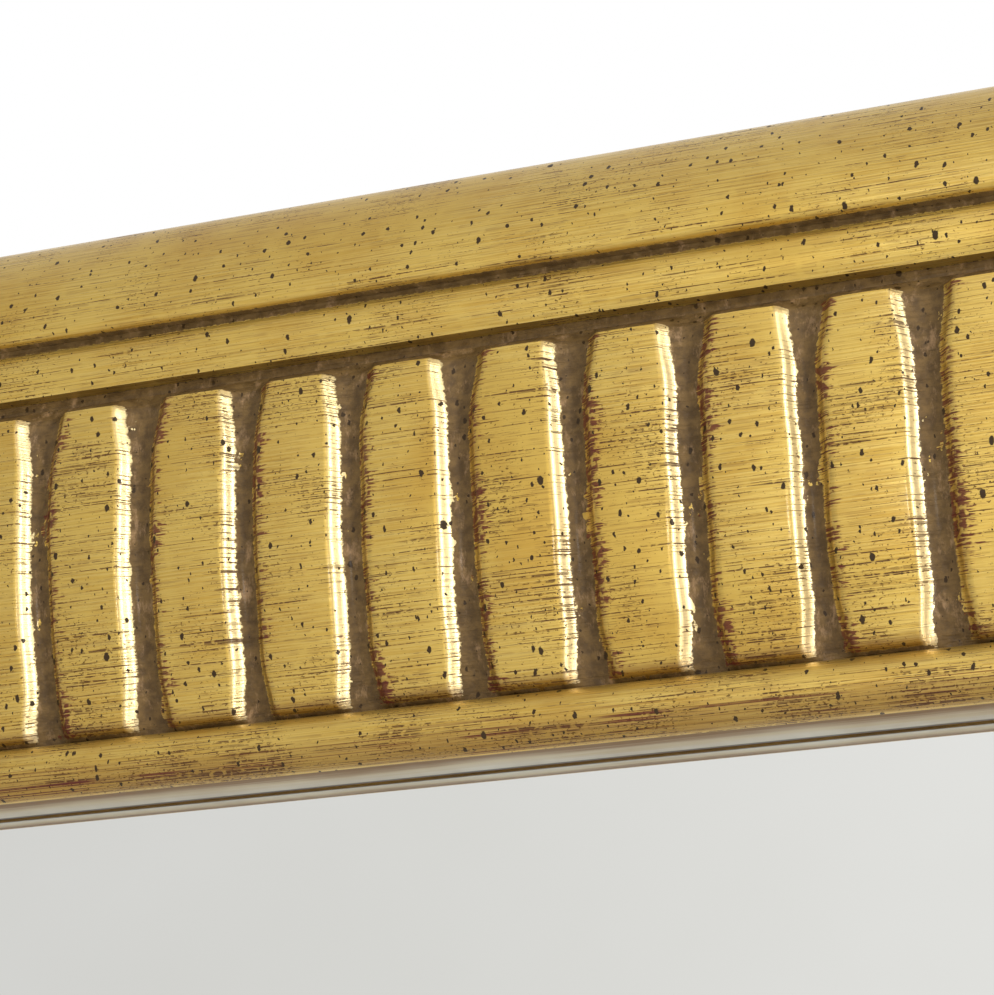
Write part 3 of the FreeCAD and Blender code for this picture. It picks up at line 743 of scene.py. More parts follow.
FELT = PlainFinish(
    "dark_felt", rgb(104, 98, 92), rgb(66, 62, 58),
    tone_scale=200.0, grain_scale=4000.0, grain_share=0.7, smooth=0.9, rough=1.0, grain_depth=0.2 * MM,
)
CARD = PlainFinish(
    "grey_card", rgb(176, 146, 104), rgb(146, 116, 78),
    tone_scale=40.0, grain_scale=1800.0, grain_share=0.5, smooth=0.8, rough=0.95,
)
HARDBOARD = PlainFinish(
    "pressed_board", rgb(134, 97, 62), rgb(114, 80, 49),
    tone_scale=60.0, grain_scale=700.0, grain_share=0.7, smooth=0.45, rough=0.62,
)
BLOCK = PlainFinish(
    "setting_block", rgb(52, 52, 50), rgb(36, 36, 35),
    tone_scale=90.0, grain_scale=1500.0, grain_share=0.4, smooth=0.6, rough=0.8,
)
BUMPER = PlainFinish(
    "bumper", rgb(70, 66, 60), rgb(48, 45, 41),
    tone_scale=90.0, grain_scale=1500.0, grain_share=0.4, smooth=0.5, rough=0.7,
)
POINTS = PlainFinish(
    "zinc_points", rgb(176, 176, 172), rgb(136, 134, 128),
    tone_scale=120.0, grain_scale=2200.0, grain_share=0.5, smooth=0.3, rough=0.5, metallic=1.0,
)
NICKEL = PlainFinish(
    "hanger_nickel", rgb(206, 202, 192), rgb(170, 164, 150),
    tone_scale=90.0, grain_scale=2200.0, grain_share=0.4, smooth=0.22, rough=0.4, metallic=1.0,
)
ZINC = PlainFinish(
    "screw_zinc", rgb(204, 186, 130), rgb(160, 142, 96),
    tone_scale=150.0, grain_scale=2200.0, grain_share=0.4, smooth=0.25, rough=0.42, metallic=1.0,
)


@dataclass(frozen=True)
class MouldingSection:
    """Sizes of the moulding: heights forward of the rabbet's floor, widths from the sight edge outward."""

    rabbet_depth: float = 14.0 * MM
    rabbet_lap: float = 8.2 * MM
    sight_bead_height: float = 7.8 * MM
    sight_bead_radius: float = 4.6 * MM
    inner_slope: float = 1.0 * MM
    frieze_width: float = 53.7 * MM
    frieze_inner_height: float = 10.5 * MM
    frieze_outer_height: float = 21.0 * MM
    frieze_crown: float = 3.0 * MM
    outer_slope: float = 2.5 * MM
    valley_height: float = 17.4 * MM
    valley_width: float = 1.7 * MM
    bead_height: float = 19.9 * MM
    bead_width: float = 8.1 * MM
    bead_radius: float = 8.2 * MM
    quirk_height: float = 21.2 * MM
    quirk_width: float = 0.7 * MM
    nose_height: float = 23.2 * MM
    nose_radius: float = 1.5 * MM
    roll_width: float = 24.1 * MM
    outer_radius: float = 10.0 * MM
    shoulder_height: float = 10.1 * MM

    @property
    def sight_end(self) -> float:
        """Width where the sight bead ends."""
        return 2 * self.sight_bead_radius

    @property
    def frieze_start(self) -> float:
        """Width where the frieze's face starts."""
        return self.sight_end + self.inner_slope

    @property
    def frieze_end(self) -> float:
        """Width where the frieze's face ends."""
        return self.frieze_start + self.frieze_width

    @property
    def valley_start(self) -> float:
        """Width where the flat valley outside the frieze starts."""
        return self.frieze_end + self.outer_slope

    @property
    def bead_start(self) -> float:
        """Width where the outer bead starts."""
        return self.valley_start + self.valley_width

    @property
    def bead_end(self) -> float:
        """Width where the outer bead ends."""
        return self.bead_start + self.bead_width

    @property
    def nose_wall(self) -> float:
        """Width of the nose's inner wall."""
        return self.bead_end + self.quirk_width

    @property
    def face_width(self) -> float:
        """Width of the whole moulding."""
        return self.nose_wall + self.roll_width

    @property
    def crest(self) -> Vector:
        """Where the nose turns into the roll's crest, as height and width."""
        return Vector((self.nose_height + self.nose_radius, self.nose_wall + self.nose_radius))

    @property
    def crest_radius(self) -> float:
        """Radius of the roll's broad crest, which meets the outer round at a tangent."""
        drop = self.crest[0] - self.shoulder_height
        reach = self.face_width - self.outer_radius - self.crest[1]
        return (drop**2 + reach**2 - self.outer_radius**2) / (2 * (drop - self.outer_radius))

    @property
    def meeting(self) -> Vector:
        """Where the crest meets the outer round, as height and width."""
        centre = self.crest - Vector((self.crest_radius, 0.0))
        round_centre = Vector((self.shoulder_height, self.face_width - self.outer_radius))
        return centre + (round_centre - centre).normalized() * self.crest_radius

    @property
    def frieze_chord(self) -> Vector:
        """The frieze's chord, as its rise and its width."""
        return Vector((self.frieze_outer_height - self.frieze_inner_height, self.frieze_width))

    @property
    def frieze_radius(self) -> float:
        """Radius of the frieze's crown."""
        return (self.frieze_chord.length_squared / 4 + self.frieze_crown**2) / (2 * self.frieze_crown)

    @property
    def frieze_half_angle(self) -> float:
        """Half the angle that the frieze's crown spans."""
        return math.asin(self.frieze_chord.length / 2 / self.frieze_radius)

    @property
    def frieze_centre(self) -> Vector:
        """Centre of the frieze's crown, as height and width."""
        rise, width = self.frieze_chord
        start = Vector((self.frieze_inner_height, self.frieze_start))
        drop = self.frieze_radius - self.frieze_crown
        return start + self.frieze_chord / 2 + Vector((-width, rise)).normalized() * drop


class SectionPen:
    """Draws a section in the plane across the length, with straight runs and round turns."""

    def __init__(self, mesh: bmesh.types.BMesh, height: float, width: float) -> None:
        """Sets the pen down.

        Args:
            mesh: The mesh to draw in.
            height: Height of the first point.
            width: Width of the first point.
        """
        self.mesh = mesh
        carried = [layer for layer in Layer if layer is not Layer.UV]
        self.layers = {layer: mesh.verts.layers.float.new(layer.value) for layer in carried}
        self.across = self.layers[Layer.ACROSS]
        self.tip = mesh.verts.new((0.0, -height, width))
        self.first = self.tip

    def advance(self, made: list[bmesh.types.BMVert]) -> list[bmesh.types.BMVert]:
        """Counts the way along the section and moves the tip.

        Args:
            made: The new points, in order.

        Returns:
            The same points.
        """
        for vert in made:
            vert[self.across] = self.tip[self.across] + (vert.co - self.tip.co).length
            self.tip = vert
        return made

    def line(self, height: float, width: float, steps: int = 1) -> list[bmesh.types.BMVert]:
        """Draws a straight run.

        Args:
            height: Height of its end.
            width: Width of its end.
            steps: Number of parts.

        Returns:
            The new points, in order.
        """
        step = (Vector((0.0, -height, width)) - self.tip.co) / steps
        made = []
        last = self.tip
        for _ in range(steps):
            last = bmesh.ops.extrude_vert_indiv(self.mesh, verts=[last])["verts"][0]
            bmesh.ops.translate(self.mesh, verts=[last], vec=step)
            made.append(last)
        return self.advance(made)

    def round(self, height: float, width: float, radius: float, steps: int) -> list[bmesh.types.BMVert]:
        """Draws a round stretch that bulges forward.

        Args:
            height: Height of its end.
            width: Width of its end.
            radius: Its radius.
            steps: Number of parts.

        Returns:
            The new points, in order.
        """
        known = len(self.mesh.verts)
        chord = Vector((0.0, -height, width)) - self.tip.co
        half = chord.length / 2
        forward = Vector((0.0, -chord.z, chord.y)).normalized()
        centre = self.tip.co + chord / 2 - forward * math.sqrt(max(0.0, radius**2 - half**2))
        angle = 2 * math.asin(min(1.0, half / radius))
        bmesh.ops.spin(
            self.mesh, geom=[self.tip], cent=centre, axis=(-1.0, 0.0, 0.0), angle=angle, steps=steps
        )
        self.mesh.verts.ensure_lookup_table()
        return self.advance(list(self.mesh.verts)[known:])

    def close(self) -> None:
        """Joins the last point to the first."""
        bmesh.ops.contextual_create(self.mesh, geom=[self.tip, self.first])


def sweep_section(mesh: bmesh.types.BMesh, length: float, columns: int) -> None:
    """Draws a closed section out along X, evenly about the middle.

    Args:
        mesh: The mesh that holds the section.
        length: Length of the sweep.
        columns: Number of parts along it.
    """
    bmesh.ops.translate(mesh, verts=mesh.verts[:], vec=(-length / 2, 0.0, 0.0))
    drawn = bmesh.ops.extrude_edge_only(mesh, edges=mesh.edges[:])["geom"]
    moved = [item for item in drawn if isinstance(item, bmesh.types.BMVert)]
    bmesh.ops.translate(mesh, verts=moved, vec=(length, 0.0, 0.0))
    runs = [edge for edge in mesh.edges if abs(edge.verts[0].co.x - edge.verts[1].co.x) > length / 2]
    bmesh.ops.subdivide_edges(mesh, edges=runs, cuts=columns - 1)


def cut_mitres(mesh: bmesh.types.BMesh, half_sight: float, gap: float) -> None:
    """Cuts both ends of a length at 45 degrees and closes them.

    Args:
        mesh: The swept length.
        half_sight: Half the length of its sight edge.
        gap: Hairline left at each mitre.
    """
    for way in (-1.0, 1.0):
        point = (way * (half_sight - gap), 0.0, 0.0)
        geometry = mesh.verts[:] + mesh.edges[:] + mesh.faces[:]
        cut = bmesh.ops.bisect_plane(
            mesh, geom=geometry, plane_co=point, plane_no=(way, 0.0, -1.0), clear_outer=True
        )
        rim = [item for item in cut["geom_cut"] if isinstance(item, bmesh.types.BMEdge)]
        bmesh.ops.edgeloop_fill(mesh, edges=rim)
    caps = [face for face in mesh.faces if len(face.verts) > 4]
    bmesh.ops.triangulate(mesh, faces=caps)
    bmesh.ops.recalc_face_normals(mesh, faces=mesh.faces[:])


def finish_mesh(
    mesh: bmesh.types.BMesh, name: str, finishes: list[Finish], sharp: float = math.radians(34.0)
) -> bpy.types.Object:
    """Turns a mesh into an object with its finishes.

    Args:
        mesh: The mesh, which is freed.
        name: The piece's name.
        finishes: Its finishes, in the order of its faces' material numbers.
        sharp: Angle past which an edge stays crisp.

    Returns:
        The new object.
    """
    for face in mesh.faces:
        face.smooth = True
    for edge in mesh.edges:
        edge.smooth = edge.calc_face_angle(0.0) < sharp
    data = bpy.data.meshes.new(name)
    mesh.to_mesh(data)
    mesh.free()
    for item in finishes:
        data.materials.append(item.material())
    piece = bpy.data.objects.new(name, data)
    bpy.context.scene.collection.objects.link(piece)
    return piece


@dataclass
class FluteRun:
    """The flutes along one length, each a little different, as a hand tool leaves them."""

    count: int
    seed: int
    pitch: float = 19.05 * MM
    half_width: float = 2.75 * MM
    depth: float = 2.3 * MM
    edge_round: float = 0.95 * MM
    edge_drop: float = 0.7 * MM
    wall_gold: float = 1.0 * MM
    outer_flare: float = 1.25 * MM
    inner_flare: float = 0.8 * MM
    bar_crown: float = 0.16 * MM
    shift_range: float = 0.28 * MM
    lean_range: float = 0.35 * MM
    width_range: float = 0.22 * MM
    course_wander: float = 0.22 * MM
    edge_wander: float = 0.32 * MM
    outer_flare_share: float = 0.2
    inner_flare_share: float = 0.15
    hollow_power: float = 2.7
    flute_shares: tuple = (0.0, 0.42, 0.72, 0.9, 1.0)
    bar_shares: tuple = (0.07, 0.14, 0.22, 0.31, 0.46, 0.72, 1.0)
    shifts: list[float] = field(default_factory=list)
    leans: list[float] = field(default_factory=list)
    widths: list[float] = field(default_factory=list)

    def __post_init__(self) -> None:
        """Draws each flute's own shift, lean and width."""
        chance = random.Random(self.seed)
        for _ in range(self.count + 2):
            self.shifts.append(chance.uniform(-self.shift_range, self.shift_range))
            self.leans.append(chance.uniform(-self.lean_range, self.lean_range))
            self.widths.append(chance.uniform(-self.width_range, self.width_range))

    @property
    def columns_per_half(self) -> int:
        """Mesh columns from a flute's middle to a bar's middle."""
        return len(self.flute_shares) - 1 + len(self.bar_shares)

    @property
    def columns(self) -> int:
        """Mesh columns along the whole run."""
        return 2 * self.columns_per_half * self.count

    @property
    def length(self) -> float:
        """Length of the run, from a bar's middle to a bar's middle."""
        return self.pitch * self.count

    def middle(self, flute: int, share: float) -> float:
        """Where a flute's middle lies along the length, at a share of the way across the frieze.

        Args:
            flute: The flute's number.
            share: Share of the way across the frieze.

        Returns:
            Distance from the length's middle.
        """
        place = (flute + 0.5 - self.count / 2) * self.pitch
        wander = noise.noise(Vector((share * 2.3, flute * 1.7, self.seed))) * self.course_wander
        return place + self.shifts[flute] + self.leans[flute] * (share - 0.5) + wander

    def half(self, flute: int, share: float, way: float) -> float:
        """Half a flute's width on one side of it, which flares towards both ends.

        Args:
            flute: The flute's number.
            share: Share of the way across the frieze.
            way: 1 on the flute's right side and -1 on its left.

        Returns:
            The half width.
        """
        outer = smooth_step(1.0 - (1.0 - share) / self.outer_flare_share)
        inner = smooth_step(1.0 - share / self.inner_flare_share)
        flare = self.outer_flare * outer + self.inner_flare * inner
        spot = Vector((share * 5.1 + way * 9.0, flute * 2.9, self.seed + 0.5))
        return self.half_width + self.widths[flute] + flare + noise.noise(spot) * self.edge_wander

    def column(self, index: int, share: float) -> "FluteColumn":
        """Where a mesh column lies on the frieze.

        Args:
            index: The column's number along the run.
            share: Share of the way across the frieze.

        Returns:
            Its place, and how deep the surface lies there.
        """
        flute, step = divmod(index, 2 * self.columns_per_half)
        if flute == self.count:
            flute, step = self.count - 1, 2 * self.columns_per_half
        place = step - self.columns_per_half
        way = math.copysign(1.0, place)
        middle = self.middle(flute, share)
        half = self.half(flute, share, way)
        border = (flute + 0.5 + 0.5 * way - self.count / 2) * self.pitch
        bar = abs(border - middle) - half
        if abs(place) < len(self.flute_shares):
            distance = half * self.flute_shares[abs(place)]
        else:
            distance = half + bar * self.bar_shares[abs(place) - len(self.flute_shares)]
        depth = self.surface(distance, half, bar)
        return FluteColumn(middle + way * distance, depth, distance - half, bar, way)

    def surface(self, distance: float, half: float, bar: float) -> float:
        """Depth of the surface below the frieze's crown.

        Args:
            distance: Distance from the flute's middle.
            half: Half the flute's width there.
            bar: Half the bar's width there.

        Returns:
            The depth.
        """
        if distance < half:
            wall = 1.0 - (distance / half) ** self.hollow_power
            return self.edge_drop + self.bar_crown + (self.depth - self.edge_drop) * wall
        past = distance - half
        fall = max(0.0, 1.0 - past / self.edge_round) ** 2 * self.edge_drop
        crown = self.bar_crown * (1.0 - past / bar) ** 2
        return fall + crown


@dataclass(frozen=True)
class FluteColumn:
    """A mesh column's place on the frieze, in metres."""

    place: float
    depth: float
    past_edge: float
    bar: float
    way: float


def smooth_step(value: float) -> float:
    """A soft step from 0 to 1."""
    held = min(1.0, max(0.0, value))
    return held * held * (3.0 - 2.0 * held)


class Stretch(IntEnum):
    """Stretches of the moulding's section, by the place of their finish."""

    GILDED = 0
    SIGHT = 1
    OUTER_SIDE = 2
    BACK = 3


@dataclass
class FrameSide:
    """One mitred length of the frame: a plain moulding and the fluted frieze that lies in it."""

    side: Side
    seed: int
    section: MouldingSection = field(default_factory=MouldingSection)
    mitre_gap: float = 0.06 * MM
    body_columns: int = 110
    wave: float = 0.07 * MM
    wave_length: float = 60.0 * MM
    wave_across: float = 9.0 * MM
    inner_fade: float = 2.0 * MM
    outer_fade: float = 4.0 * MM
    paint_lap: float = 0.5 * MM
    bead_foot_paint: float = 0.2 * MM
    nose_leaf: float = 0.3 * MM
    inner_leaf: float = 1.4 * MM
    outer_leaf: float = 0.4 * MM
    inner_cuts: tuple = (0.55, 1.0)
    outer_cuts: tuple = (0.75, 0.4, 0.0)
    foot_wear: float = 0.5
    foot_share: float = 0.035
    frieze_crease: float = math.radians(50.0)
    uv_step: float = 1.37

    @property
    def half_sight(self) -> float:
        """Half the length of the sight edge."""
        low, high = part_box(self.side.node)
        longest = (high.z - low.z) if self.side.upright else (high.x - low.x)
        return longest / 2 - self.section.face_width

    @property
    def matrix(self) -> Matrix:
        """Takes a length from its own axes to its place in the frame."""
        low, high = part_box(self.side.node)
        reach = max(abs(low.x), abs(high.x)) if self.side.upright else max(abs(low.z), abs(high.z))
        floor = high.y - self.section.rabbet_depth
        lift = Matrix.Translation((0.0, floor, reach - self.section.face_width))
        return Matrix.Rotation(self.side.turn, 4, "Y") @ lift

    def build(self) -> list[bpy.types.Object]:
        """Builds and dresses both pieces.

        Returns:
            The moulding and the frieze.
        """
        pieces = [self.build_moulding(), self.build_frieze()]
        for piece in pieces:
            piece.data.transform(self.matrix)
            piece.data.update()
            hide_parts(self.side.node)
            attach(piece, ROOT_BODY)
        return pieces

    def build_moulding(self) -> bpy.types.Object:
        """The moulding with its beads, nose, outer round, back and rabbet.

        Returns:
            The moulding, in its own axes.
        """
        s = self.section
        mesh = bmesh.new()
        pen = SectionPen(mesh, 0.0, 0.0)
        pen.line(s.sight_bead_height, 0.0, steps=3)
        side_end = pen.tip[pen.across]
        sight_bead = pen.round(s.sight_bead_height, s.sight_end, s.sight_bead_radius, steps=16)
        paint_start = pen.tip[pen.across] - self.paint_lap
        pen.line(s.valley_height, s.valley_start, steps=3)
        pen.line(s.valley_height, s.bead_start, steps=3)
        paint_end = pen.tip[pen.across] + self.bead_foot_paint
        pen.line(s.bead_height, s.bead_start, steps=4)
        pen.round(s.quirk_height, s.bead_end, s.bead_radius, steps=14)
        quirk_start = pen.tip[pen.across] - self.paint_lap
        pen.line(s.quirk_height, s.nose_wall, steps=2)
        pen.line(s.nose_height, s.nose_wall, steps=6)
        quirk_end = pen.tip[pen.across] - self.nose_leaf
        pen.round(*s.crest, s.nose_radius, steps=8)
        pen.round(*s.meeting, s.crest_radius, steps=16)
        pen.round(s.shoulder_height, s.face_width, s.outer_radius, steps=10)
        round_end = pen.tip[pen.across]
        pen.line(-s.rabbet_depth, s.face_width, steps=4)
        outer_end = pen.tip[pen.across]
        pen.line(-s.rabbet_depth, s.rabbet_lap, steps=6)
        pen.line(0.0, s.rabbet_lap, steps=2)
        pen.close()
        painted = ((paint_start, paint_end), (quirk_start, quirk_end))
        for vert in mesh.verts:
            vert[pen.layers[Layer.GOLD_EDGE]] = self.border(vert[pen.across], painted) / MM
            vert[pen.layers[Layer.BAR_LEFT]] = vert[pen.layers[Layer.BAR_RIGHT]] = FAR_FROM_BARS
            vert[pen.layers[Layer.WEAR]] = PLAIN_WEAR
        for step, vert in enumerate(sight_bead):
            vert[pen.layers[Layer.WEAR]] = 1.0 - 0.75 * smooth_step((step / len(sight_bead) - 0.1) / 0.6)
        length = 2 * (self.half_sight + s.face_width) + self.wave_length
        sweep_section(mesh, length, self.body_columns)
        self.map_uv(mesh, pen.across)
        for face in mesh.faces:
            middle = sum(vert[pen.across] for vert in face.verts) / len(face.verts)
            face.material_index = self.moulding_slot(middle, side_end, round_end, outer_end)
        self.ripple(mesh, pen.across, side_end, round_end)
        cut_mitres(mesh, self.half_sight, self.mitre_gap)
        finishes = [Gilding(), SightWash(), PaintedSide(), BareWood()]
        return finish_mesh(mesh, f"{self.side.node}_moulding", finishes)

    @staticmethod
    def border(across: float, painted: tuple[tuple[float, float], ...]) -> float:
        """Distance from the border between leaf and paint, below zero on paint.

        Args:
            across: Way along the section.
            painted: Where the painted stretches start and end.

        Returns:
            The distance.
        """
        inside = [min(across - start, end - across) for start, end in painted]
        return -max(inside)

    @staticmethod
    def moulding_slot(across: float, side_end: float, round_end: float, outer_end: float) -> int:
        """The finish of a stretch of the moulding, as its material number.

        Args:
            across: Way along the section.
            side_end: Where the sight edge's side ends.
            round_end: Where the gilded face ends.
            outer_end: Where the outer side ends.

        Returns:
            The material number.
        """
        if across < side_end:
            return Stretch.SIGHT
        if across < round_end:
            return Stretch.GILDED
        return Stretch.OUTER_SIDE if across < outer_end else Stretch.BACK

    def ripple(self, mesh: bmesh.types.BMesh, across: object, low: float, high: float) -> None:
        """Moves the gilded face in and out a little, as a hand-finished surface runs.

        Args:
            mesh: The swept moulding.
            across: The layer that holds the way along the section.
            low: Where the gilded face starts.
            high: Where it ends.
        """
        for vert in mesh.verts:
            way = vert[across]
            if low < way < high:
                spot = Vector((vert.co.x / self.wave_length, way / self.wave_across, self.seed))
                fade = min(1.0, (way - low) / self.inner_fade, (high - way) / self.outer_fade)
                vert.co.y += (noise.noise(spot) + 0.5) * self.wave * fade

    def map_uv(self, mesh: bmesh.types.BMesh, across: object) -> None:
        """Gives each corner its way along the length and across the section, in metres.

        Args:
            mesh: The swept length.
            across: The layer that holds the way along the section.
        """
        layer = mesh.loops.layers.uv.new(Layer.UV.value)
        offset = self.seed * self.uv_step
        for face in mesh.faces:
            for loop in face.loops:
                loop[layer].uv = (loop.vert.co.x + offset, loop.vert[across])

    def build_frieze(self) -> bpy.types.Object:
        """The crowned frieze with its flutes and bars.

        Returns:
            The frieze, in its own axes.
        """
        s = self.section
        half_length = self.half_sight + s.face_width
        pitch = FluteRun.pitch
        flutes = FluteRun(2 * math.ceil(half_length / pitch), self.seed)
        mesh = bmesh.new()
        pen = SectionPen(mesh, s.sight_bead_height, s.sight_end)
        share, cut = pen.layers[Layer.SHARE], pen.layers[Layer.CUT]
        pen.tip[pen.across] = s.sight_bead_height + math.pi * s.sight_bead_radius
        inner = pen.line(s.frieze_inner_height, s.frieze_start, steps=2)
        face = pen.round(s.frieze_outer_height, s.frieze_end, s.frieze_radius, steps=44)
        outer = pen.line(s.valley_height, s.valley_start, steps=3)
        pen.close()
        arc = 2 * s.frieze_half_angle * s.frieze_radius
        start = inner[-1][pen.across]
        for vert in mesh.verts:
            vert[share] = (vert[pen.across] - start) / arc
            vert[pen.layers[Layer.WEAR]] = BAR_WEAR
        cuts = (*self.inner_cuts, *(1.0 for _ in face), *self.outer_cuts)
        for vert, depth in zip(inner + face + outer, cuts, strict=True):
            vert[cut] = depth
        sweep_section(mesh, flutes.length, flutes.columns)
        self.press_flutes(mesh, flutes, pen.layers, arc)
        self.map_uv(mesh, pen.across)
        cut_mitres(mesh, self.half_sight, self.mitre_gap)
        return finish_mesh(mesh, f"{self.side.node}_frieze", [Gilding()], self.frieze_crease)

    def press_flutes(self, mesh: bmesh.types.BMesh, flutes: FluteRun, layers: dict, arc: float) -> None:
        """Moves the frieze's mesh columns to the flutes' edges and presses the flutes in.

        Args:
            mesh: The swept frieze.
            flutes: The flutes along it.
            layers: The mesh's layers, of which the wear and the distances from paint and from the bars'
                edges are filled.
            arc: Length of the frieze's face across.
        """
        share, cut, gold_edge = layers[Layer.SHARE], layers[Layer.CUT], layers[Layer.GOLD_EDGE]
        bar_left, bar_right = layers[Layer.BAR_LEFT], layers[Layer.BAR_RIGHT]
        centre = Vector((-self.section.frieze_centre[0], self.section.frieze_centre[1]))
        step = flutes.length / flutes.columns
        for vert in mesh.verts:
            index = round((vert.co.x + flutes.length / 2) / step)
            at = flutes.column(index, min(1.0, max(0.0, vert[share])))
            vert.co.x = at.place
            inward = (centre - vert.co.yz).normalized() * (at.depth * vert[cut])
            vert.co.y += inward[0]
            vert.co.z += inward[1]
            ends = min(vert[share] * arc + self.inner_leaf, (1.0 - vert[share]) * arc + self.outer_leaf)
            vert[layers[Layer.WEAR]] += self.foot_wear * (1.0 - smooth_step(vert[share] / self.foot_share))
            vert[gold_edge] = min(at.past_edge + flutes.wall_gold, ends) / MM
            near, far = at.past_edge / MM, (2 * at.bar - at.past_edge) / MM
            vert[bar_left], vert[bar_right] = (near, far) if at.way > 0 else (far, near)


@dataclass
class MirrorPlate:
    """The silvered plate with its wide bevel."""

    bevel_width: float = 25.4 * MM
    bevel_drop: float = 2.6 * MM
    crease: float = math.radians(1.0)

    def build(self) -> bpy.types.Object:
        """Builds the plate in its node's box.

        Returns:
            The plate.
        """
        low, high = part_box("mirror_plate")
        mesh = bmesh.new()
        bmesh.ops.create_cube(mesh, size=1.0)
        bmesh.ops.scale(mesh, verts=mesh.verts[:], vec=high - low)
        bmesh.ops.translate(mesh, verts=mesh.verts[:], vec=(low + high) / 2)
        front = min(mesh.faces, key=lambda face: face.calc_center_median().y)
        inset = bmesh.ops.inset_region(
            mesh, faces=[front], thickness=self.bevel_width, use_even_offset=True
        )
        rim = {vert for face in inset["faces"] for vert in face.verts} - set(front.verts)
        bmesh.ops.translate(mesh, verts=list(rim), vec=(0.0, self.bevel_drop, 0.0))
        bmesh.ops.recalc_face_normals(mesh, faces=mesh.faces[:])
        piece = finish_mesh(mesh, "mirror_plate_glass", [Silvering()], self.crease)
        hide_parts("mirror_plate")
        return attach(piece, ROOT_BODY)


@dataclass
class KeptNodes:
    """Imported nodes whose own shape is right, with their finishes."""

    finishes: dict[str, Finish] = field(
        default_factory=lambda: {
            "top_felt": FELT,
            "bottom_felt": FELT,
            "left_felt": FELT,
            "right_felt": FELT,
            "filler_sheet": CARD,
            "backing_board": HARDBOARD,
            "setting_blocks": BLOCK,
            "glazier_points": POINTS,
            "corner_nails": POINTS,
            "wall_bumpers": BUMPER,
            "left_hanger_strap": NICKEL,
            "right_hanger_strap": NICKEL,
            "left_hanger_ring": NICKEL,
            "right_hanger_ring": NICKEL,
            "hanger_screws": ZINC,
        }
    )

    def dress(self) -> list[bpy.types.Object]:
        """Gives each node its finish.

        Returns:
            The nodes' objects.
        """
        dressed = []
        for name, item in self.finishes.items():
            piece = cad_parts[name]
            piece.data.materials.clear()
            piece.data.materials.append(item.material())
            dressed.append(piece)
        return dressed


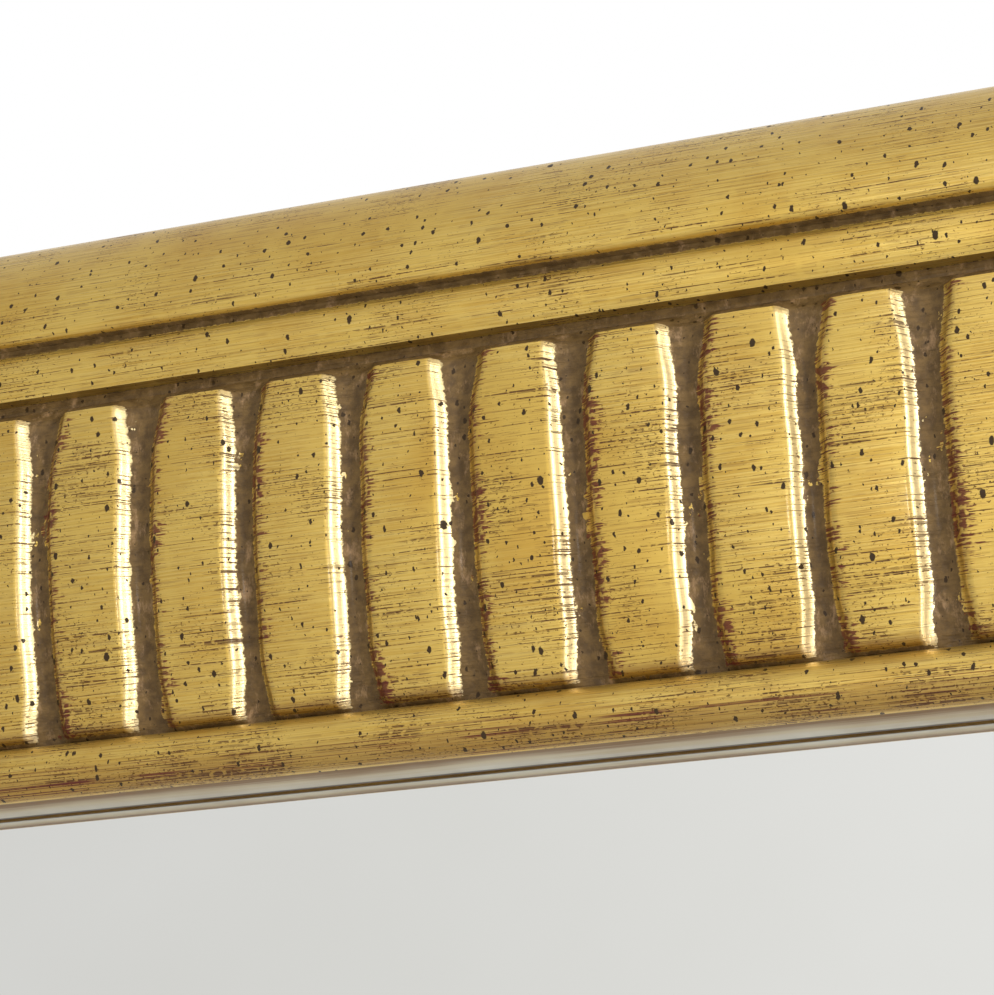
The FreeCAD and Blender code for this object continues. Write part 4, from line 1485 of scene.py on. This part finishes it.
@dataclass
class Studio:
    """The camera at the photograph's place, soft lamps, a pale floor and a pale surround."""

    azimuth: float = math.radians(20.69)
    elevation: float = math.radians(-22.89)
    roll: float = math.radians(-0.78)
    distance: float = 466.4 * MM
    target: Vector = field(default_factory=lambda: Vector((-4.47, -35.0, 491.37)) * MM)
    image_width: float = 994.0
    focal_pixels: float = 2925.0
    sensor: float = 36.0
    floor_size: float = 9.0
    floor_tone: tuple = rgb(238, 238, 236)
    floor_shade: tuple = rgb(232, 232, 230)
    front_left_tone: float = 0.66
    front_right_tone: float = 0.86
    nearest: float = 10.0 * MM

    def build(self) -> None:
        """Sets up the whole studio."""
        bpy.context.scene.view_settings.view_transform = "Standard"
        self.build_camera()
        self.build_world()
        self.build_lamps()
        self.build_floor()

    def build_camera(self) -> None:
        """The camera, from below and a little to the right of the top rail."""
        turn, tilt = self.azimuth, self.elevation
        back = Vector((math.sin(turn) * math.cos(tilt), -math.cos(turn) * math.cos(tilt), math.sin(tilt)))
        right = Vector((math.cos(turn), math.sin(turn), 0.0))
        up = back.cross(right)
        rolled_right = right * math.cos(self.roll) - up * math.sin(self.roll)
        rolled_up = right * math.sin(self.roll) + up * math.cos(self.roll)
        data = bpy.data.cameras.new("camera")
        data.sensor_fit = "HORIZONTAL"
        data.sensor_width = self.sensor
        data.lens = self.focal_pixels / self.image_width * self.sensor
        data.clip_start = self.nearest
        camera = bpy.data.objects.new("camera", data)
        camera.matrix_world = Matrix.Translation(self.target + back * self.distance) @ Matrix(
            (rolled_right, rolled_up, back)
        ).transposed().to_4x4()
        bpy.context.scene.collection.objects.link(camera)
        bpy.context.scene.camera = camera

    def build_world(self) -> None:
        """A white surround that is dimmer in front, most at the left."""
        world = bpy.data.worlds.new("surround")
        world.use_nodes = True
        bpy.context.scene.world = world
        graph = NodeGraph(world.node_tree)
        background = next(node for node in world.node_tree.nodes if node.type == "BACKGROUND")
        way = graph.add("ShaderNodeTexCoord").outputs["Generated"]
        parts = graph.add("ShaderNodeSeparateXYZ", {0: way}).outputs
        front = graph.ramp(parts[0], -0.65, 0.15, self.front_left_tone, self.front_right_tone)
        tone = graph.blend(graph.ramp(parts[1], 0.15, 0.6), front, 1.0)
        graph.feed(background.inputs["Color"], tone)

    def build_lamps(self) -> None:
        """A broad soft lamp in front, a small low one under it and a tall bright one at the right."""
        self.add_lamp("front_lamp", azimuth=9.0, elevation=32.0, distance=2.2, size=(1.2, 0.9), power=4.5)
        self.add_lamp("low_lamp", azimuth=2.0, elevation=-6.0, distance=2.2, size=(0.4, 0.16), power=5.5)
        self.add_lamp("right_lamp", azimuth=60.0, elevation=4.0, distance=1.8, size=(0.2, 1.8), power=27.0)

    def add_lamp(
        self,
        name: str,
        azimuth: float,
        elevation: float,
        distance: float,
        size: tuple[float, float],
        power: float,
    ) -> None:
        """Adds one soft lamp that points at the top rail.

        Args:
            name: The lamp's name.
            azimuth: Degrees to the right of straight in front.
            elevation: Degrees up.
            distance: Distance from the top rail's middle.
            size: Width and height.
            power: Watts.
        """
        turn, tilt = math.radians(azimuth), math.radians(elevation)
        away = Vector((math.sin(turn) * math.cos(tilt), -math.cos(turn) * math.cos(tilt), math.sin(tilt)))
        data = bpy.data.lights.new(name, "AREA")
        data.shape = "RECTANGLE"
        data.size, data.size_y = size
        data.energy = power
        lamp = bpy.data.objects.new(name, data)
        lamp.location = self.target + away * distance
        lamp.rotation_euler = away.to_track_quat("Z", "Y").to_euler()
        bpy.context.scene.collection.objects.link(lamp)

    def build_floor(self) -> None:
        """A pale floor under the frame's lower edge, which doesn't show from below."""
        mesh = bmesh.new()
        bmesh.ops.create_grid(mesh, x_segments=1, y_segments=1, size=self.floor_size / 2)
        bmesh.ops.translate(mesh, verts=mesh.verts[:], vec=(0.0, 0.0, CAD_BOX[0].z))
        data = bpy.data.meshes.new("floor")
        mesh.to_mesh(data)
        mesh.free()
        floor = bpy.data.objects.new("floor", data)
        bpy.context.scene.collection.objects.link(floor)
        data.materials.append(self.floor_material())

    def floor_material(self) -> bpy.types.Material:
        """Pale matt paint that is clear from behind.

        Returns:
            The material.
        """
        material = bpy.data.materials.new("pale_floor")
        material.use_nodes = True
        graph = NodeGraph(material.node_tree)
        nodes = {node.type: node for node in material.node_tree.nodes}
        shader, output = nodes["BSDF_PRINCIPLED"], nodes["OUTPUT_MATERIAL"]
        place = graph.add("ShaderNodeTexCoord").outputs["Object"]
        tone = MOTTLE.place(graph, Vector=place, Scale=6.0, Low=0.2, High=0.8)
        graph.feed(shader.inputs["Base Color"], graph.mix(tone, self.floor_tone, self.floor_shade))
        shader.inputs["Roughness"].default_value = 0.8
        clear = graph.add("ShaderNodeBsdfTransparent").outputs[0]
        behind = graph.add("ShaderNodeNewGeometry").outputs["Backfacing"]
        mixed = graph.add("ShaderNodeMixShader", {0: behind, 1: shader.outputs[0], 2: clear})
        graph.feed(output.inputs["Surface"], mixed.outputs[0])
        return material


def main() -> None:
    """Builds every sub-assembly in order."""
    logging.basicConfig(level=logging.INFO, format="%(name)s: %(message)s")
    Studio().build()
    pieces = []
    for seed, side in enumerate(Side, start=1):
        pieces += FrameSide(side, seed).build()
    pieces.append(MirrorPlate().build())
    pieces += KeptNodes().dress()
    for piece in pieces:
        LOG.info("%s with %d faces", piece.name, len(piece.data.polygons))


if __name__ == "__main__":
    main()
